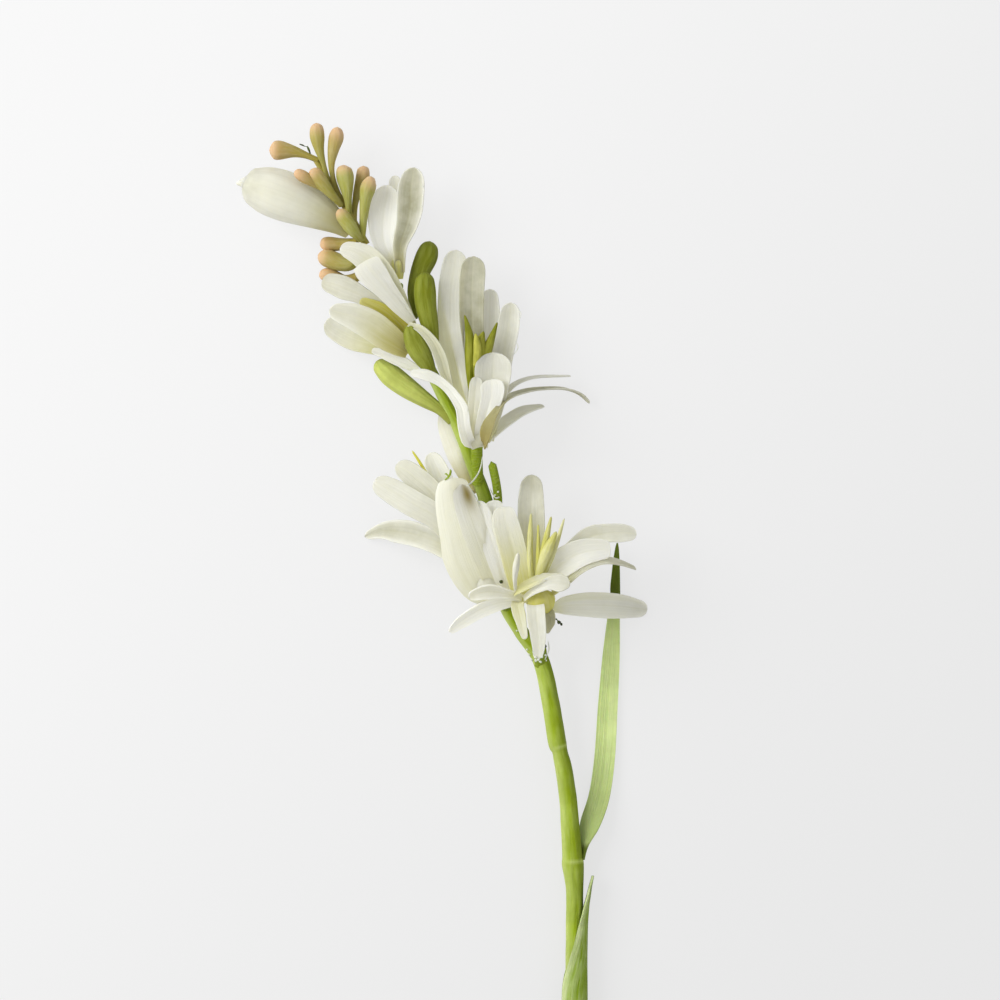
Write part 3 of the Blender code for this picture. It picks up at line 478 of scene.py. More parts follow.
class TuberoseColours(bpy.types.PropertyGroup):
    """Colours of the flower's finishes."""
    petal: colour("Petal", "Lit part of a petal", (0.85, 0.84, 0.73))
    # Painted shade: the grey green that darkens the petals and white buds where they lie in shade; it also
    # tints the petals' fine veins.
    petal_shade: colour("Petal shade", "Grey green that tones a petal", (0.29, 0.285, 0.20))
    throat: colour("Throat", "Yellow green at a petal's root", (0.50, 0.47, 0.025))
    # Worn brown, also painted at some petal roots as the shade in deep folds.
    brown: colour("Petal brown", "Olive brown of worn places", (0.22, 0.17, 0.04))
    stem: colour("Stem", "Green of the stem", (0.31, 0.42, 0.008))
    # The stem's pale streaks and rings, and the painted highlight on its side towards the key light.
    stem_light: colour("Stem streaks", "Pale streaks of the stem", (0.60, 0.69, 0.24))
    sheath: colour("Clasping leaf", "Green of the leaf that clasps the stem", (0.24, 0.37, 0.005))
    leaf: colour("Leaf", "Light green of the long leaf", (0.72, 0.88, 0.33))
    # The long leaf's pale veins, and the painted highlight on the clasping leaf's side towards the key
    # light.
    leaf_light: colour("Leaf veins", "Pale veins of the long leaf", (0.86, 0.92, 0.56))
    # Dark olive: the painted shade on the stem's far side and among the blooms, on the long leaf's turned
    # ends and on the clasping leaf's far side; also the darker colour of the green buds and the stalks,
    # and the specks' blotches.
    olive_and_painted_shade: colour("Leaf back", "Dark olive of the leaf's turned end", (0.10, 0.14, 0.004))
    bud: colour("Green bud", "Green of the closed buds", (0.21, 0.23, 0.01))
    bud_light: colour("Bud tip", "Paler green of a bud's ridges", (0.58, 0.64, 0.16))
    peach: colour("Tip bud", "Peach of the small buds", (0.53, 0.33, 0.13))
    blush: colour("Tip blush", "Pale blush at a small bud's end", (0.74, 0.49, 0.29))
    tip_green: colour("Tip green", "Green of some small buds", (0.37, 0.39, 0.07))
    tan: colour("Tip stalk", "Olive tan of the small buds' stalks", (0.35, 0.28, 0.035))
    stamen: colour("Stamen", "Pale yellow green of the lower stamens", (0.66, 0.64, 0.12))
    stamen_olive: colour("Dark stamen", "Olive of the middle stamens", (0.18, 0.20, 0.005))
    glue: colour("Glue", "Pale dried glue", (0.66, 0.72, 0.62))
    speck: colour("Speck", "Nearly black specks", (0.03, 0.04, 0.015))
    floor: colour("Floor", "Pale floor", (0.80, 0.80, 0.80))


class TuberoseStage(bpy.types.PropertyGroup):
    """Light and camera of the picture."""
    lens: FloatProperty(name="Lens", description="Focal length in millimetres", default=200.0,
                        min=20.0)
    view_width: length("View width", "Width that the picture takes in", 0.3)
    view_x: FloatProperty(name="View across", description="Middle of the view from left to right",
                          default=0.01706, unit="LENGTH")
    view_y: FloatProperty(name="View along", description="Middle of the view along the stem",
                          default=0.04842, unit="LENGTH")
    view_z: length("View height", "Height at which the view has its width", 0.014)
    key_power: FloatProperty(name="Key light", description="Power of the light from the left",
                             default=9.5, min=0)
    sky: FloatProperty(name="Sky light", description="Strength of the even light", default=0.56,
                       min=0)


def sizes():
    """Gives the sizes as the user has set them."""
    return bpy.context.scene.tuberose_sizes


def colours():
    """Gives the colours as the user has set them."""
    return bpy.context.scene.tuberose_colours


# Curves.
def at(place):
    """Turns a place on the drawing into a point of the part, in metres."""
    x, y, z = place[:3]
    return Vector(((x - CENTRE_X) * SQUARE, (CENTRE_Y - y) * SQUARE, z * SQUARE))


def between(rows, where):
    """Reads a smooth curve through the rows, at a share of its rows from 0 to 1."""
    last = len(rows) - 1
    place = min(max(where, 0.0), 1.0) * last
    i = min(int(place), last - 1)
    t = place - i
    here = Vector(rows[i])
    there = Vector(rows[i + 1])
    before = Vector(rows[i - 1]) if i > 0 else 2 * here - there
    after = Vector(rows[i + 2]) if i + 2 <= last else 2 * there - here
    bend = 2 * before - 5 * here + 4 * there - after
    swing = 3 * here - before - 3 * there + after
    return 0.5 * (2 * here + (there - before) * t + bend * t * t + swing * t ** 3)


def even_rows(rows, count, ease=0.0):
    """Reads count + 1 places along the curve, each with its share of the curve's length.

    The places lie at even lengths, or closer at the end with ease. Gives the length too.
    """
    steps = max(FEWEST_STEPS, STEPS_A_ROW * len(rows))
    fine = [between(rows, k / steps) for k in range(steps + 1)]
    run = [0.0]
    for a, b in zip(fine, fine[1:]):
        run.append(run[-1] + (Vector(b[:3]) - Vector(a[:3])).length)
    out = []
    i = 0
    for k in range(count + 1):
        part = (1 - ease) * k / count + ease * math.sin(math.pi / 2 * k / count)
        aim = run[-1] * part
        while i < steps - 1 and run[i + 1] < aim:
            i += 1
        t = (aim - run[i]) / (run[i + 1] - run[i])
        out.append((part, fine[i].lerp(fine[i + 1], min(t, 1.0))))
    return out, run[-1]


def smooth(value):
    """Eases a value from 0 to 1, and keeps it at 0 before and at 1 after."""
    value = min(max(value, 0.0), 1.0)
    return value * value * (3 - 2 * value)


def past(across, line, v, soft):
    """Tells from 0 to 1 how far a place lies to the right of a fold's line."""
    place = min(max(v, 0.0), 1.0) * (len(line) - 1)
    i = min(int(place), len(line) - 2)
    return smooth((across - line[i] - (line[i + 1] - line[i]) * (place - i)) / soft + 0.5)


def rounded(where, begin, power):
    """Gives the share of its width that a blade keeps as its tip rounds off."""
    if where <= begin:
        return 1.0
    return max(0.0, 1 - ((where - begin) / (1 - begin)) ** power) ** 0.5


# Pieces.
def start_piece():
    """Starts a mesh with a map for the grain and a mark for each kind of toning."""
    bm = bmesh.new()
    bm.loops.layers.uv.new(UV_NAME)
    for mark in MARKS:
        bm.verts.layers.float.new(mark)
    return bm


def bend_grid(bm, cols, rows, rule, tones, shift=0.0):
    """Adds a flat grid and bends it by a rule. rule and tones read (u, row, v)."""
    made = bmesh.ops.create_grid(bm, x_segments=cols, y_segments=rows, size=1.0)["verts"]
    layers = [bm.verts.layers.float[mark] for mark in MARKS]
    grain = bm.loops.layers.uv[UV_NAME]
    flat = {}
    for vert in made:
        col = round((vert.co.x + 1) / 2 * cols)
        row = round((vert.co.y + 1) / 2 * rows)
        flat[vert] = (col / cols, row / rows)
        vert.co = rule(col / cols, row)
        for layer, value in zip(layers, tones(col / cols, row / rows)):
            vert[layer] = value
    faces = list({face for vert in made for face in vert.link_faces})
    for face in faces:
        for loop in face.loops:
            u, v = flat[loop.vert]
            loop[grain].uv = (u + shift, v)
    bmesh.ops.remove_doubles(bm, verts=made, dist=MERGE)
    return [face for face in faces if face.is_valid]


def give_wall(bm, faces, thick):
    """Gives an open sheet its wall, on the side that its faces turn away from."""
    bmesh.ops.recalc_face_normals(bm, faces=faces)
    bmesh.ops.solidify(bm, geom=faces, thickness=thick)


def blade(bm, widths, lines, parts, turns, cup, wall, cols, looks, shift, tones):
    """Adds a strip along the lines with a groove, wavy edges and a wall.

    widths holds the width to the left and to the right at each point of the lines.
    """
    count = len(lines) - 1
    chord = (lines[-1] - lines[0]).normalized()
    level = chord.cross(Vector((0, 0, 1))).normalized()

    def rule(u, row):
        across = 2 * u - 1
        run = (lines[min(row + 1, count)] - lines[max(row - 1, 0)]).normalized()
        side = Quaternion(chord, -math.radians(turns[row])) @ level
        side = (side - run * side.dot(run)).normalized()
        lift = side.cross(run)
        half = widths[row][0 if across < 0 else 1] * SQUARE
        v = parts[row]
        rise = cup * half * across * across
        place = (v * WAVES_ALONG, across * WAVES_ACROSS, shift * WAVES_STEP + WAVES_START)
        ripple = noise.noise(Vector(place))
        wavy = abs(across) ** 1.5 * math.sin(math.pi * min(v * 1.1, 1.0))
        rise += looks["ruffle"] * SQUARE * ripple * wavy
        rise -= looks["groove"] * SQUARE * math.exp(-(across / GROOVE_WIDTH) ** 2) * math.sin(math.pi * v)
        for line, step in looks["folds"]:
            fold = past(across, line, v, FOLD_WIDTH) * math.sin(math.pi * min(v + 0.2, 0.9))
            rise += step * SQUARE * fold
        spot = lines[row] + side * half * across + lift * (rise + wall / 2)
        spot.z = max(spot.z, wall + FLOOR_CLEAR)
        return spot

    faces = bend_grid(bm, cols, count, rule, tones, shift)
    give_wall(bm, faces, wall)


def both_ends(value):
    """Gives a trait at a petal's root and tip, where one number stands for both."""
    return value if isinstance(value, tuple) else (value, value)


def petal(bm, spec, shift):
    """Adds one petal, its root sunk in the bloom's heart."""
    points, turn, cup, own = spec
    looks = {**PLAIN, **own}
    rows, run = even_rows(points, PETAL_ROWS, TIP_EASE)
    parts = [part for part, row in rows]
    lines = [at(row) for part, row in rows]
    tip_half = 0.5 * (points[-1][3] + points[-1][4])
    begin = 1 - looks["point"] * tip_half / run
    ends = [rounded(part, begin, looks["power"]) for part in parts]
    widths = [(row[3] * end, row[4] * end) for (part, row), end in zip(rows, ends)]
    first_turn, last_turn = both_ends(turn)
    first_shade, last_shade = both_ends(looks["shade"])
    eased = [smooth((part - TURN_BEGINS) / TURN_LENGTH) for part in parts]
    turns = [first_turn + (last_turn - first_turn) * part for part in eased]

    # Painted light: the shade mark paints grey green shade, lighter at the edges where the rim tone paints
    # a highlight; the olive at the roots is partly painted shade in deep folds, and the throat, the tint
    # and the worn spot are the petal's own colour.
    def tones(u, v):
        part = parts[round(v * PETAL_ROWS)]
        across = 2 * u - 1
        root = smooth(1 - part / looks["deep"])
        line, green = looks["tint"]
        tint = green * (1 - past(across, line, part, TINT_WIDTH)) * (1 - 0.8 * part)
        shade = first_shade + (last_shade - first_shade) * part
        away = ((across - SPOT_ACROSS) / SPOT_WIDTH) ** 2 + ((part - SPOT_ALONG) / SPOT_LENGTH) ** 2
        worn_spot_and_olive_shade = max(looks["brown"] * math.exp(-away), looks["olive"] * root ** 2)
        return max(looks["throat"] * root, tint), shade * (1 - looks["rim_highlight"] * abs(across) ** 3), worn_spot_and_olive_shade

    blade(bm, widths, lines, parts, turns, cup, sizes().petal_wall, PETAL_COLS, looks, shift, tones)


def wrap(bm, rows, around, along, tones, swell_of=None, shift=0.0, ease=0.0):
    """Adds a round body along the rows, closed at both ends; its seam is underneath."""
    marks, run = even_rows(rows, along, ease)
    lines = [at(row) for part, row in marks]
    chord = (lines[-1] - lines[0]).normalized()
    level = chord.cross(Vector((0, 0, 1))).normalized()
    tip_radius = marks[-1][1][3]

    def rule(u, row):
        k = max(row - 1, 0)
        part, place = marks[k]
        run_way = (lines[min(k + 1, along)] - lines[max(k - 1, 0)]).normalized()
        side = (level - run_way * level.dot(run_way)).normalized()
        lift = side.cross(run_way)
        left = run * (1 - part)
        end = 1.0
        if left < tip_radius:
            end = max(0.0, 1 - (1 - left / tip_radius) ** 2) ** 0.5
        turn = 2 * math.pi * u - math.pi / 2
        radius = 0.0 if row == 0 else place[3] * end
        if swell_of:
            radius *= swell_of(u, part)
        spot = lines[k] + (side * math.cos(turn) + lift * math.sin(turn)) * radius * SQUARE
        spot.z = max(spot.z, FLOOR_CLEAR)
        return spot

    def tones_here(u, v):
        return tones(u, marks[max(round(v * (along + 1)) - 1, 0)][0])

    bend_grid(bm, around, along + 1, rule, tones_here, shift)


def lapped(twist, phase, more=1.0):
    """Makes the rule for a bud's surface, where each petal laps over the next."""
    step = sizes().lap_step * more

    def swell_of(u, v):
        place = (u * LAPPING_PETALS + twist * v + phase) % 1.0
        rib = BUD_RIB_HEIGHT * math.cos(2 * math.pi * BUD_RIBS * u)
        return 1 + (step * (place - 0.5) + rib) * math.sin(math.pi * min(v * 1.02, 1.0))

    return swell_of


def lay_piece(name, bm, finish, stands_for=None):
    """Turns the mesh into an object that rides on the flower in its solid's place."""
    mesh = bpy.data.meshes.new(name)
    bmesh.ops.recalc_face_normals(bm, faces=bm.faces[:])
    bm.to_mesh(mesh)
    bm.free()
    mesh.materials.append(finish)
    mesh.shade_smooth()
    mesh.set_sharp_from_angle(angle=math.radians(SHARP_ANGLE))
    piece = bpy.data.objects.new(name, mesh)
    bpy.context.scene.collection.objects.link(piece)
    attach(piece, "root")
    if stands_for:
        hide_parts(stands_for)


def bloom(name, petals, tube, green, stands_for, threads=()):
    """Makes a bloom: its heart, its petals and the stamens fused with it.

    green tells how yellow green the heart is at its foot.
    """
    bm = start_piece()
    # The heart is yellow green towards its foot and carries a little painted shade all over.
    wrap(bm, tube, TUBE_AROUND, TUBE_ALONG, lambda u, v: (green * (1 - 0.2 * v), 0.25, 0.0),
         ease=TUBE_EASE)
    for number, spec in enumerate(petals):
        petal(bm, spec, number * 2.0)
    for rows in threads:
        wrap(bm, rows, THREAD_AROUND, THREAD_ALONG, lambda u, v: (1.0, 0.0, 0.0), ease=THREAD_EASE)
    lay_piece(name, bm, petal_finish(), stands_for)


def stem_at(y):
    """Finds the stem's centre and radius at a height on the drawing."""
    for low, high in zip(STEM, STEM[1:]):
        if high[1] <= y <= low[1]:
            part = (low[1] - y) / (low[1] - high[1])
            return Vector(low).lerp(Vector(high), part)
    return Vector(STEM[0])


# Shader groups.
def put(tree, kind, **settings):
    """Adds a node and sets its own settings."""
    made = tree.nodes.new(kind)
    for key, value in settings.items():
        setattr(made, key, value)
    return made


def feed(tree, made, **inputs):
    """Fills a node's inputs by name, or by number as i0, i1, from a socket or a value."""
    for key, value in inputs.items():
        socket = made.inputs[int(key[1:])] if key[0] == "i" and key[1:].isdigit() else made.inputs[key]
        if isinstance(value, bpy.types.NodeSocket):
            tree.links.new(value, socket)
        else:
            socket.default_value = value
    return made


def sum_of(tree, kind, *values):
    """Adds a Math node with these inputs."""
    made = put(tree, "ShaderNodeMath", operation=kind)
    feed(tree, made, **{f"i{n}": value for n, value in enumerate(values)})
    return made.outputs[0]


def limits(tree, value, low, high, to_low=0.0, to_high=1.0):
    """Adds a Map Range node that is smooth at both ends."""
    made = put(tree, "ShaderNodeMapRange", interpolation_type="SMOOTHSTEP")
    feed(tree, made, i0=value, i1=low, i2=high, i3=to_low, i4=to_high)
    return made.outputs[0]


def blended(tree, amount, first, second):
    """Adds a colour Mix node."""
    made = put(tree, "ShaderNodeMix", data_type="RGBA")
    for socket, value in zip((made.inputs[0], made.inputs[6], made.inputs[7]), (amount, first, second)):
        if isinstance(value, bpy.types.NodeSocket):
            tree.links.new(value, socket)
        else:
            socket.default_value = value if socket == made.inputs[0] else (*value, 1.0)
    return made.outputs[2]


def new_group(name, inputs, outputs):
    """Starts a shader node group with number or vector inputs and number outputs."""
    tree = bpy.data.node_groups.new(name, "ShaderNodeTree")
    for label, kind, value in inputs:
        made = tree.interface.new_socket(label, in_out="INPUT", socket_type=kind)
        if kind == "NodeSocketFloat":
            made.default_value = value
    for label in outputs:
        tree.interface.new_socket(label, in_out="OUTPUT", socket_type="NodeSocketFloat")
    return tree, tree.nodes.new("NodeGroupInput").outputs, tree.nodes.new("NodeGroupOutput").inputs


def streak_group():
    """Lengthwise streaks, fine or broad, that follow a piece from root to tip."""
    name = "Lengthwise streaks"
    if name in bpy.data.node_groups:
        return bpy.data.node_groups[name]
    tree, ins, outs = new_group(name, [
        ("Grain", "NodeSocketVector", None), ("Around", "NodeSocketFloat", 30.0),
        ("Along", "NodeSocketFloat", 2.0), ("Contrast", "NodeSocketFloat", 0.5)], ["Streaks"])
    split = feed(tree, put(tree, "ShaderNodeSeparateXYZ"), i0=ins["Grain"])
    wide = sum_of(tree, "MULTIPLY", split.outputs[0], ins["Around"])
    tall = sum_of(tree, "MULTIPLY", split.outputs[1], ins["Along"])
    place = feed(tree, put(tree, "ShaderNodeCombineXYZ"), i0=wide, i1=tall)
    cloud = feed(tree, put(tree, "ShaderNodeTexNoise"), Vector=place.outputs[0], Scale=1.0, Detail=4.0)
    half = sum_of(tree, "MULTIPLY", ins["Contrast"], 0.5)
    made = limits(tree, cloud.outputs[0], half, sum_of(tree, "SUBTRACT", 1.0, half))
    tree.links.new(made, outs["Streaks"])
    return tree


def mottle_group():
    """Soft blotches of two sizes, in the part's own space."""
    name = "Soft mottling"
    if name in bpy.data.node_groups:
        return bpy.data.node_groups[name]
    tree, ins, outs = new_group(name, [
        ("Place", "NodeSocketVector", None), ("Size", "NodeSocketFloat", 100.0)], ["Blotches"])
    broad = feed(tree, put(tree, "ShaderNodeTexNoise"), Vector=ins["Place"], Scale=ins["Size"], Detail=2.0)
    small = sum_of(tree, "MULTIPLY", ins["Size"], 5.3)
    fine = feed(tree, put(tree, "ShaderNodeTexNoise"), Vector=ins["Place"], Scale=small, Detail=3.0)
    both = sum_of(tree, "ADD", broad.outputs[0], sum_of(tree, "MULTIPLY", fine.outputs[0], 0.35))
    tree.links.new(limits(tree, both, 0.45, 0.9), outs["Blotches"])
    return tree


def cloth_group():
    """Crossed fine threads, as in the cloth of a petal."""
    name = "Cloth threads"
    if name in bpy.data.node_groups:
        return bpy.data.node_groups[name]
    tree, ins, outs = new_group(name, [
        ("Place", "NodeSocketVector", None), ("Threads", "NodeSocketFloat", 900.0)], ["Height"])
    waves = []
    for way in ("X", "Y"):
        wave = put(tree, "ShaderNodeTexWave", bands_direction=way)
        feed(tree, wave, Vector=ins["Place"], Scale=ins["Threads"], Distortion=1.5, Detail=1.0)
        waves.append(wave.outputs["Fac"])
    tree.links.new(sum_of(tree, "MAXIMUM", *waves), outs["Height"])
    return tree


def midline_group():
    """How near a place is to a blade's midline."""
    name = "Midline"
    if name in bpy.data.node_groups:
        return bpy.data.node_groups[name]
    tree, ins, outs = new_group(name, [("Grain", "NodeSocketVector", None)], ["Midline"])
    split = feed(tree, put(tree, "ShaderNodeSeparateXYZ"), i0=ins["Grain"])
    inside = sum_of(tree, "FRACT", sum_of(tree, "MAXIMUM", split.outputs[0], 0.0))
    off = sum_of(tree, "ABSOLUTE", sum_of(tree, "SUBTRACT", inside, 0.5))
    tree.links.new(limits(tree, off, 0.0, 0.09, 1.0, 0.0), outs["Midline"])
    return tree


def use(tree, group, **inputs):
    """Places a group in a material and fills its inputs; gives its outputs."""
    made = put(tree, "ShaderNodeGroup")
    made.node_tree = group
    return feed(tree, made, **inputs).outputs


def streaks(tree, grain, around, along, contrast):
    """Places the lengthwise streaks."""
    return use(tree, streak_group(), Grain=grain, Around=around, Along=along,
               Contrast=contrast)["Streaks"]


def blotches(tree, place, size):
    """Places the soft mottling."""
    return use(tree, mottle_group(), Place=place, Size=size)["Blotches"]


def toned(tree, base, mask, amount, tone):
    """Blends a tone over the base where the mask is high, by at most the amount."""
    return blended(tree, sum_of(tree, "MULTIPLY", mask, amount), base, tone)


def start_finish(name):
    """Starts a material; gives its tree, shader, grain map, place and marks."""
    paint = bpy.data.materials.new(name)
    paint.use_nodes = True
    tree = paint.node_tree
    shader = tree.nodes["Principled BSDF"]
    grain = put(tree, "ShaderNodeUVMap", uv_map=UV_NAME).outputs[0]
    place = put(tree, "ShaderNodeTexCoord").outputs["Object"]
    marks = [put(tree, "ShaderNodeAttribute", attribute_name=mark).outputs["Fac"] for mark in MARKS]
    return paint, tree, shader, grain, place, marks


def relief(tree, shader, height, strength, distance):
    """Feeds a height to the shader's normal through a Bump node."""
    bump = feed(tree, put(tree, "ShaderNodeBump"), Height=height, Strength=strength, Distance=distance)
    tree.links.new(bump.outputs[0], shader.inputs["Normal"])


def petal_finish():
    """White cloth-like petal: creamy, with painted grey green shade in places, yellow green at the root,
    and a faint glow of painted light.
    """
    name = "white petal"
    if name in bpy.data.materials:
        return bpy.data.materials[name]
    tone = colours()
    paint, tree, shader, grain, place, (throat, shade, brown) = start_finish(name)
    fine = streaks(tree, grain, 46.0, 2.0, 0.7)
    broad = streaks(tree, grain, 11.0, 1.3, 0.7)
    blotch = blotches(tree, place, 90.0)
    cloth = use(tree, cloth_group(), Place=place, Threads=900.0)["Height"]
    midline = use(tree, midline_group(), Grain=grain)["Midline"]
    # Painted shade: the shade mark, made uneven by blotches and broad streaks, blends the petal towards
    # the grey green shade colour.
    uneven = sum_of(tree, "ADD", sum_of(tree, "MULTIPLY", blotch, 0.3), 0.65)
    grey = sum_of(tree, "MULTIPLY", shade, uneven)
    grey = sum_of(tree, "ADD", grey, sum_of(tree, "MULTIPLY", broad, 0.06))
    base = blended(tree, sum_of(tree, "MINIMUM", grey, 1.0), tone.petal, tone.petal_shade)
    base = toned(tree, base, fine, 0.05, tone.petal_shade)
    base = toned(tree, base, midline, 0.04, tone.throat)
    streaky = sum_of(tree, "ADD", sum_of(tree, "MULTIPLY", broad, 0.2), 0.85)
    base = toned(tree, base, throat, streaky, tone.throat)
    base = blended(tree, brown, base, tone.brown)
    tree.links.new(base, shader.inputs["Base Color"])
    tree.links.new(limits(tree, blotch, 0.0, 1.0, 0.5, 0.68), shader.inputs["Roughness"])
    veins = sum_of(tree, "MULTIPLY", fine, 0.7)
    height = sum_of(tree, "ADD", veins, sum_of(tree, "MULTIPLY", cloth, 0.2))
    height = sum_of(tree, "ADD", height, sum_of(tree, "MULTIPLY", broad, 0.6))
    relief(tree, shader, height, strength=0.28, distance=0.0002)
    # The faint glow in the petal's own colour is painted light that lifts its shadows, standing in for
    # light shining through the thin cloth.
    feed(tree, shader, **{"Subsurface Weight": 0.6, "Subsurface Radius": (1.0, 0.95, 0.7),
                          "Subsurface Scale": 0.003, "Specular IOR Level": 0.25,
                          "Emission Color": base, "Emission Strength": 0.12})
    return paint


def green_finish(name, body, light, grain_size, glow=0.1):
    """Green skin with pale lengthwise streaks, blotches and a fine relief. On the stem and the leaves its
    paler side is a painted highlight and its dark olive a painted shade; the stem's pale rings are its own
    colour.
    """
    if name in bpy.data.materials:
        return bpy.data.materials[name]
    paint, tree, shader, grain, place, (throat, shade, brown) = start_finish(name)
    around, along = grain_size
    fine = streaks(tree, grain, around * 2.6, along * 1.6, 0.7)
    broad = streaks(tree, grain, around, along, 0.75)
    blotch = blotches(tree, place, 120.0)
    pale = sum_of(tree, "ADD", sum_of(tree, "MULTIPLY", broad, 0.22), sum_of(tree, "MULTIPLY", fine, 0.1))
    # On the stem and the clasping leaf the throat mark adds the painted highlight on the side towards the
    # key light.
    pale = sum_of(tree, "ADD", pale, throat)
    base = blended(tree, pale, body, light)
    base = toned(tree, base, blotch, 0.25, [0.5 * part for part in body])
    # The shade mark blends in dark olive: painted shade on the stem and the leaves, a darker colour on the
    # green buds and the stalks.
    base = blended(tree, shade, base, colours().olive_and_painted_shade)
    base = blended(tree, brown, base, colours().tan)
    tree.links.new(base, shader.inputs["Base Color"])
    tree.links.new(limits(tree, fine, 0.0, 1.0, 0.42, 0.6), shader.inputs["Roughness"])
    height = sum_of(tree, "ADD", broad, sum_of(tree, "MULTIPLY", fine, 0.5))
    relief(tree, shader, height, strength=0.6, distance=0.00025)
    feed(tree, shader, **{"Subsurface Weight": glow, "Subsurface Radius": (0.6, 1.0, 0.2),
                          "Subsurface Scale": 0.001, "Specular IOR Level": 0.1})
    return paint


# Operators.
class TUBEROSE_OT_stem(bpy.types.Operator):
    """Shape the stem with its joints, ribs and short stalks"""
    bl_idname = "tuberose.stem"
    bl_label = "Stem"

    def execute(self, context):
        bm = start_piece()
        rib = sizes().rib_height
        marks = even_rows(STEM, STEM_ALONG)[0]
        joints = [next(part for part, row in marks if row[1] <= y) for y in STEM_JOINTS]

        def ribs(u, v):
            wave = math.cos(2 * math.pi * STEM_RIBS * u + RIB_SWAY * math.sin(RIB_SWAYS * v))
            uneven = noise.noise(Vector((u * UNEVEN_AROUND, v * UNEVEN_ALONG, 0)))
            return 1 + rib * wave + UNEVEN_HEIGHT * uneven

        # Painted light: the side towards the key light is painted pale as a highlight, the far side is
        # painted dark as shade, and the stretch among the blooms is painted dark as the blooms' shadow;
        # the pale rings at the joints are the stem's own colour.
        def tones(u, v):
            right = math.sin(2 * math.pi * u)
            painted_bloom_shadow = 0.4 * smooth((v - 0.6) / 0.06) * smooth((0.8 - v) / 0.06)
            ring = max(math.exp(-((v - joint) / RING_HEIGHT) ** 2) for joint in joints)
            pale = max(0.5 * smooth(-right), RING_PALE * ring)
            return pale, max(painted_bloom_shadow, 0.5 * smooth(right)) * (1 - ring), 0.0

        wrap(bm, STEM, STEM_AROUND, STEM_ALONG, tones, ribs)
        for number, rows in enumerate(STEM_STALKS):
            wrap(bm, rows, STALK_AROUND, STALK_ALONG, lambda u, v: (0.0, 0.3, 0.0), shift=number + 1.0)
        finish = green_finish("stem skin", colours().stem, colours().stem_light, (7.0, 24.0))
        lay_piece("stem_ribbed", bm, finish, "stem")
        return {"FINISHED"}


class TUBEROSE_OT_leaves(bpy.types.Operator):
    """Shape the long leaf and the leaf that clasps the stem"""
    bl_idname = "tuberose.leaves"
    bl_label = "Leaves"

    def execute(self, context):
        self.long_leaf()
        self.clasping_leaf()
        return {"FINISHED"}

    def long_leaf(self):
        bm = start_piece()
        parts = [k / LEAF_ROWS for k in range(LEAF_ROWS + 1)]
        rows = [between(LONG_LEAF, part) for part in parts]
        lines = [at(row) for row in rows]
        halves = [0.5 * row[3] * rounded(part, LEAF_TAPER, 2.0) for part, row in zip(parts, rows)]
        widths = [(half, half) for half in halves]
        turns = [row[4] for row in rows]

        # Painted shade darkens the blade where it turns edge-on at the tip and at the foot; the lower half
        # is a little darker too.
        def tones(u, v):
            painted_shade_tip = 0.97 * smooth((v - 0.78) / 0.06)
            painted_shade_foot = 0.95 * smooth((0.165 - v) / 0.08)
            low_half = 0.4 * smooth((0.52 - v) / 0.25)
            return 0.0, max(painted_shade_tip + painted_shade_foot, low_half), 0.0

        wall = sizes().leaf_wall
        blade(bm, widths, lines, parts, turns, LEAF_CUP, wall, LEAF_COLS, LEAF_LOOKS, 0.0, tones)
        finish = green_finish("leaf skin", colours().leaf, colours().leaf_light, (14.0, 3.0), 0.25)
        lay_piece("long_leaf_blade", bm, finish, "leaf_long")

    def clasping_leaf(self):
        bm = start_piece()
        wall = sizes().leaf_wall
        clear = (sizes().sheath_gap + wall) / SQUARE

        def rule(u, row):
            y, reach, out = between(SHEATH, row / SHEATH_ROWS)
            centre = stem_at(y)
            angle = math.radians(reach * (2 * u - 1))
            ring = max(stem_at(y + step)[3] for step in (-SHEATH_LOOK, 0, SHEATH_LOOK)) + clear
            spot = at((centre.x + out + ring * math.cos(angle), y, centre.z + ring * math.sin(angle)))
            spot.z = max(spot.z, wall + FLOOR_CLEAR)
            return spot

        # Painted light: the part that wraps round towards the key light is painted pale as a highlight,
        # and the far side is painted dark as shade.
        def tones(u, v):
            return 0.4 * smooth((u - 0.8) / 0.15), 0.45 * smooth((0.74 - u) / 0.25), 0.0

        faces = bend_grid(bm, SHEATH_COLS, SHEATH_ROWS, rule, tones)
        give_wall(bm, faces, wall)
        finish = green_finish("clasping leaf skin", colours().sheath, colours().leaf_light, (18.0, 8.0))
        lay_piece("clasping_leaf_blade", bm, finish, "leaf_sheath")


class TUBEROSE_OT_blooms(bpy.types.Operator):
    """Shape the four open blooms with their hearts and petals"""
    bl_idname = "tuberose.blooms"
    bl_label = "Open blooms"

    def execute(self, context):
        bloom("lower_right_petals", LOWER_RIGHT, LOWER_RIGHT_TUBE, 1.0, "bloom_lower_right")
        bloom("lower_left_petals", LOWER_LEFT, LOWER_LEFT_TUBE, 0.1, "bloom_lower_left",
              [LOWER_LEFT_STAMEN])
        bloom("middle_petals", MIDDLE, MIDDLE_TUBE, 0.05, "bloom_middle")
        bloom("upper_left_petals", UPPER_LEFT, UPPER_LEFT_TUBE, 0.9, "bloom_upper_left")
        return {"FINISHED"}


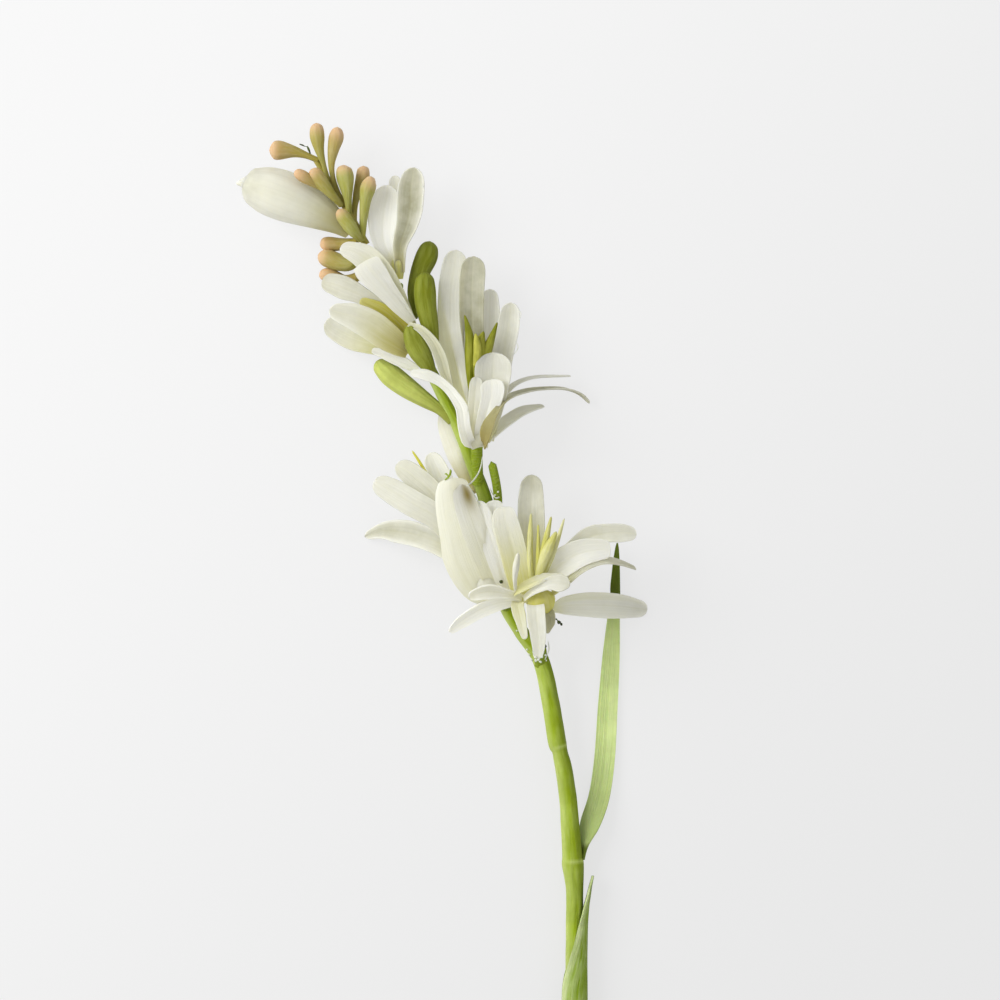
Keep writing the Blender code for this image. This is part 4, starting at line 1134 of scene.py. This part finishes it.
class TUBEROSE_OT_stamens(bpy.types.Operator):
    """Shape the stamens of the lower right and middle blooms"""
    bl_idname = "tuberose.stamens"
    bl_label = "Stamens"

    def execute(self, context):
        tone = colours()
        self.threads("pale_stamens", STAMENS_RIGHT, "stamens_lower_right", "stamen",
                     green_finish("pale stamen", tone.stamen, tone.petal, (4.0, 3.0), 0.0))
        self.threads("olive_stamens", STAMENS_MIDDLE, "stamens_middle", "stamen_olive",
                     green_finish("olive stamen", tone.stamen_olive, tone.stamen, (4.0, 3.0)))
        return {"FINISHED"}

    def threads(self, name, table, node, slot, finish):
        bm = start_piece()
        for number, (rows, pale) in enumerate(table):
            def tones(u, v):
                return pale, 0.0, 0.0

            wrap(bm, rows, THREAD_AROUND, THREAD_ALONG, tones, shift=float(number), ease=STAMEN_EASE)
        lay_piece(name, bm, finish, node)


class TUBEROSE_OT_white_buds(bpy.types.Operator):
    """Shape the three white buds"""
    bl_idname = "tuberose.white_buds"
    bl_label = "White buds"

    def execute(self, context):
        self.closed("large_white_bud", LARGE_BUD, "bud_white_large", 0.95, 2.4)
        self.closed("white_bud_behind", BEHIND_BUD, "bud_white_behind", 0.3, 1.0)
        bloom("opening_white_bud", OPENING_BUD, OPENING_BUD_TUBE, 0.8, "bud_white_opening")
        return {"FINISHED"}

    def closed(self, name, rows, node, phase, laps):
        bm = start_piece()

        # The white buds are painted in grey green shade all over, more at the stalk end and at the tip;
        # the stalk end is also yellow green and olive brown.
        def tones(u, v):
            root = smooth(1 - v / 0.55)
            tip = smooth((v - 0.75) / 0.2)
            return 0.45 * root, 0.3 + 0.3 * root + 0.3 * tip, 0.5 * smooth(1 - v / 0.5)

        wrap(bm, rows, BUD_AROUND, BUD_ALONG, tones, lapped(0.15, phase, laps), ease=BUD_EASE)
        if rows is LARGE_BUD:
            wrap(bm, LARGE_BUD_SPIKE, THREAD_AROUND, THREAD_ALONG, lambda u, v: (0.0, 0.3, 0.0),
                 shift=1.0)
        lay_piece(name, bm, petal_finish(), node)


class TUBEROSE_OT_green_buds(bpy.types.Operator):
    """Shape the green buds, one of them with a pale petal coming loose"""
    bl_idname = "tuberose.green_buds"
    bl_label = "Green buds"

    def execute(self, context):
        for node, rows in GREEN_BUDS.items():
            bm = start_piece()
            self.closed(bm, rows, *BUD_TONES[node])
            lay_piece(node + "_lapped", bm, self.finish(), node)
        bm = start_piece()
        self.closed(bm, OPENING_GREEN_BUD, 0.1, 0.15)
        lay_piece("opening_green_bud", bm, self.finish(), "bud_green_opening")
        bm = start_piece()
        petal(bm, OPENING_GREEN, 0.0)
        lay_piece("pale_bud_petal", bm, petal_finish())
        return {"FINISHED"}

    def finish(self):
        return green_finish("green bud skin", colours().bud, colours().bud_light, (9.0, 2.0), 0.15)

    def closed(self, bm, rows, pale, dark):
        def tones(u, v):
            return max(pale * smooth(0.3 + v), 0.25 * smooth(0.5 - v)), dark * (0.2 + 0.8 * v), 0.0

        wrap(bm, rows, BUD_AROUND, BUD_ALONG, tones, lapped(0.2, 0.4), ease=BUD_EASE)


class TUBEROSE_OT_tip_spray(bpy.types.Operator):
    """Shape the spray of small buds at the tip"""
    bl_idname = "tuberose.tip_spray"
    bl_label = "Tip spray"

    def execute(self, context):
        bm = start_piece()
        wrap(bm, TIP_STEM, SPRAY_AROUND, SPRAY_ALONG, lambda u, v: (1.0, 0.3, 0.0))
        for number, (rows, green) in enumerate(TIP_BUDS):
            def tones(u, v):
                middle = 0.3 * math.sin(math.pi * v) ** 2
                return smooth(1.1 - v * 1.3), min(green + middle, 1), 0.85 * smooth((v - 0.74) / 0.26)

            wrap(bm, rows, SPRAY_AROUND, SPRAY_ALONG, tones, lapped(0.1, 0.3 * number),
                 number + 1.0, SPRAY_EASE)
        lay_piece("tip_spray_buds", bm, self.finish(), "tip_spray")
        return {"FINISHED"}

    def finish(self):
        """Peach bud that turns olive tan towards its stalk, or green."""
        tone = colours()
        paint, tree, shader, grain, place, (throat, shade, brown) = start_finish("tip bud skin")
        fine = streaks(tree, grain, 14.0, 4.0, 0.6)
        blotch = blotches(tree, place, 160.0)
        base = blended(tree, throat, tone.peach, tone.tan)
        base = toned(tree, base, shade, 0.9, tone.tip_green)
        base = toned(tree, base, fine, 0.12, tone.petal)
        base = toned(tree, base, blotch, 0.3, tone.tan)
        base = blended(tree, brown, base, tone.blush)
        tree.links.new(base, shader.inputs["Base Color"])
        tree.links.new(limits(tree, blotch, 0.0, 1.0, 0.45, 0.65), shader.inputs["Roughness"])
        relief(tree, shader, fine, strength=0.5, distance=0.0002)
        feed(tree, shader, **{"Subsurface Weight": 0.15, "Subsurface Radius": (1.0, 0.6, 0.3),
                              "Subsurface Scale": 0.0008, "Specular IOR Level": 0.2})
        return paint


class TUBEROSE_OT_bits(bpy.types.Operator):
    """Shape the glue crumbs, dark specks and loose threads on the flower"""
    bl_idname = "tuberose.bits"
    bl_label = "Crumbs and threads"

    def execute(self, context):
        tone = colours()
        pale = self.finish("dried glue", tone.glue, tone.petal, 0.3)
        dark = self.finish("dark speck", tone.speck, tone.olive_and_painted_shade, 0.6)
        self.crumbs("glue_crumbs", CRUMBS, pale, "petal")
        self.crumbs("dark_specks", SPECKS, dark, "stem")
        self.threads("glue_threads", GLUE_THREADS, pale, "petal")
        self.threads("twig", TWIG, green_finish("twig skin", tone.stem, tone.leaf, (3.0, 2.0)), "stem")
        self.threads("dark_threads", DARK_THREADS, dark, "stem")
        return {"FINISHED"}

    def crumbs(self, name, table, finish, slot):
        bm = start_piece()
        for number, (x, y, z, radius) in enumerate(table):
            made = bmesh.ops.create_icosphere(bm, subdivisions=CRUMB_CUTS, radius=radius * SQUARE)["verts"]
            for vert in made:
                rough = noise.noise(vert.co * CRUMB_BUMPS + Vector((number, 0, 0)))
                vert.co = at((x, y, z)) + vert.co * (1 + 0.5 * rough)
        lay_piece(name, bm, finish)

    def threads(self, name, table, finish, slot):
        bm = start_piece()
        for number, rows in enumerate(table):
            wrap(bm, rows, HAIR_AROUND, HAIR_ALONG, lambda u, v: (0.0, 0.0, 0.0), shift=float(number))
        lay_piece(name, bm, finish)

    def finish(self, name, body, light, rough):
        paint, tree, shader, _, place, _ = start_finish(name)
        blotch = blotches(tree, place, 500.0)
        tree.links.new(blended(tree, blotch, body, light), shader.inputs["Base Color"])
        tree.links.new(limits(tree, blotch, 0.0, 1.0, rough, rough + 0.2), shader.inputs["Roughness"])
        relief(tree, shader, blotch, strength=0.4, distance=0.0002)
        return paint


class TUBEROSE_OT_stage(bpy.types.Operator):
    """Lay the pale floor, set the soft lights and the camera"""
    bl_idname = "tuberose.stage"
    bl_label = "Floor, lights and camera"

    def execute(self, context):
        self.floor()
        self.lights()
        self.camera()
        return {"FINISHED"}

    def floor(self):
        bm = bmesh.new()
        bmesh.ops.create_grid(bm, x_segments=1, y_segments=1, size=FLOOR_REACH)
        mesh = bpy.data.meshes.new("floor")
        bm.to_mesh(mesh)
        bm.free()
        paint = bpy.data.materials.new("pale floor")
        paint.use_nodes = True
        tree = paint.node_tree
        shader = tree.nodes["Principled BSDF"]
        place = put(tree, "ShaderNodeTexCoord").outputs["Object"]
        blotch = blotches(tree, place, 3.0)
        base = toned(tree, colours().floor, blotch, 0.04, FLOOR_MOTTLE)
        tree.links.new(base, shader.inputs["Base Color"])
        tree.links.new(limits(tree, blotch, 0.0, 1.0, 0.8, 0.95), shader.inputs["Roughness"])
        shader.inputs["Specular IOR Level"].default_value = 0.1
        self.lift(tree, shader.outputs[0], tree.nodes["Material Output"], "ShaderNodeEmission", 0.8)
        mesh.materials.append(paint)
        floor = bpy.data.objects.new("floor", mesh)
        bpy.context.scene.collection.objects.link(floor)

    def lights(self):
        stage = bpy.context.scene.tuberose_stage
        world = bpy.data.worlds.new("even light")
        world.use_nodes = True
        tree = world.node_tree
        back = tree.nodes["Background"]
        back.inputs["Color"].default_value = (1.0, 1.0, 1.0, 1.0)
        back.inputs["Strength"].default_value = stage.sky
        self.lift(tree, back.outputs[0], tree.nodes["World Output"], "ShaderNodeBackground", 1.0)
        bpy.context.scene.world = world
        for name, place, size, part in LAMPS:
            self.lamp(name, place, size, stage.key_power * part)

    def lift(self, tree, plain, ending, kind, amount):
        """Lets the camera see a pale glow, brighter to the upper left, over the plain shader."""
        glow = put(tree, kind)
        space = "Object" if kind == "ShaderNodeEmission" else "Generated"
        place = put(tree, "ShaderNodeTexCoord").outputs[space]
        split = feed(tree, put(tree, "ShaderNodeSeparateXYZ"), i0=place)
        slope = limits(tree, sum_of(tree, "SUBTRACT", split.outputs[0], split.outputs[1]), *GLOW_SPAN)
        tree.links.new(blended(tree, slope, GLOW_BRIGHT, GLOW_DIM), glow.inputs["Color"])
        seen = put(tree, "ShaderNodeLightPath").outputs["Is Camera Ray"]
        both = put(tree, "ShaderNodeMixShader")
        tree.links.new(sum_of(tree, "MULTIPLY", seen, amount), both.inputs[0])
        tree.links.new(plain, both.inputs[1])
        tree.links.new(glow.outputs[0], both.inputs[2])
        tree.links.new(both.outputs[0], ending.inputs["Surface"])

    def lamp(self, name, place, size, power):
        data = bpy.data.lights.new(name, "AREA")
        data.shape = "SQUARE"
        data.size = size
        data.energy = power
        lamp = bpy.data.objects.new(name, data)
        lamp.location = place
        lamp.rotation_mode = "QUATERNION"
        lamp.rotation_quaternion = (Vector(LIT_PLACE) - Vector(place)).to_track_quat("-Z", "Y")
        bpy.context.scene.collection.objects.link(lamp)

    def camera(self):
        scene = bpy.context.scene
        stage = scene.tuberose_stage
        data = bpy.data.cameras.new("camera")
        data.lens = stage.lens
        data.sensor_width = SENSOR_WIDTH
        away = stage.view_width * stage.lens / data.sensor_width
        eye = bpy.data.objects.new("camera", data)
        eye.location = (stage.view_x, stage.view_y, stage.view_z + away)
        scene.collection.objects.link(eye)
        scene.camera = eye
        scene.view_settings.view_transform = "Standard"
        scene.view_settings.look = "None"


class TUBEROSE_PT_panel(bpy.types.Panel):
    """Lists the flower's pieces, sizes and colours"""
    bl_idname = "TUBEROSE_PT_panel"
    bl_label = "Tuberose flower"
    bl_space_type = "VIEW_3D"
    bl_region_type = "UI"
    bl_category = "Tuberose"

    def draw(self, context):
        layout = self.layout
        for operator in OPERATORS:
            layout.operator(operator.bl_idname)
        for group in GROUPS:
            box = layout.box()
            held = getattr(context.scene, group)
            for key in held.__annotations__:
                box.prop(held, key)


GROUPS = {"tuberose_sizes": TuberoseSizes, "tuberose_colours": TuberoseColours,
          "tuberose_stage": TuberoseStage}
OPERATORS = (TUBEROSE_OT_stem, TUBEROSE_OT_leaves, TUBEROSE_OT_blooms, TUBEROSE_OT_stamens,
             TUBEROSE_OT_white_buds, TUBEROSE_OT_green_buds, TUBEROSE_OT_tip_spray, TUBEROSE_OT_bits,
             TUBEROSE_OT_stage)


def register():
    """Registers the add-on's classes and ties its property groups to the scene."""
    for made in (*GROUPS.values(), *OPERATORS, TUBEROSE_PT_panel):
        bpy.utils.register_class(made)
    for name, group in GROUPS.items():
        setattr(bpy.types.Scene, name, PointerProperty(type=group))


def unregister():
    """Takes the property groups and classes away again."""
    for name in GROUPS:
        delattr(bpy.types.Scene, name)
    for made in reversed((*GROUPS.values(), *OPERATORS, TUBEROSE_PT_panel)):
        bpy.utils.unregister_class(made)


def main():
    """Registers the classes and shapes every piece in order."""
    register()
    bpy.ops.tuberose.stem()
    bpy.ops.tuberose.leaves()
    bpy.ops.tuberose.blooms()
    bpy.ops.tuberose.stamens()
    bpy.ops.tuberose.white_buds()
    bpy.ops.tuberose.green_buds()
    bpy.ops.tuberose.tip_spray()
    bpy.ops.tuberose.bits()
    bpy.ops.tuberose.stage()


if __name__ == "__main__":
    main()
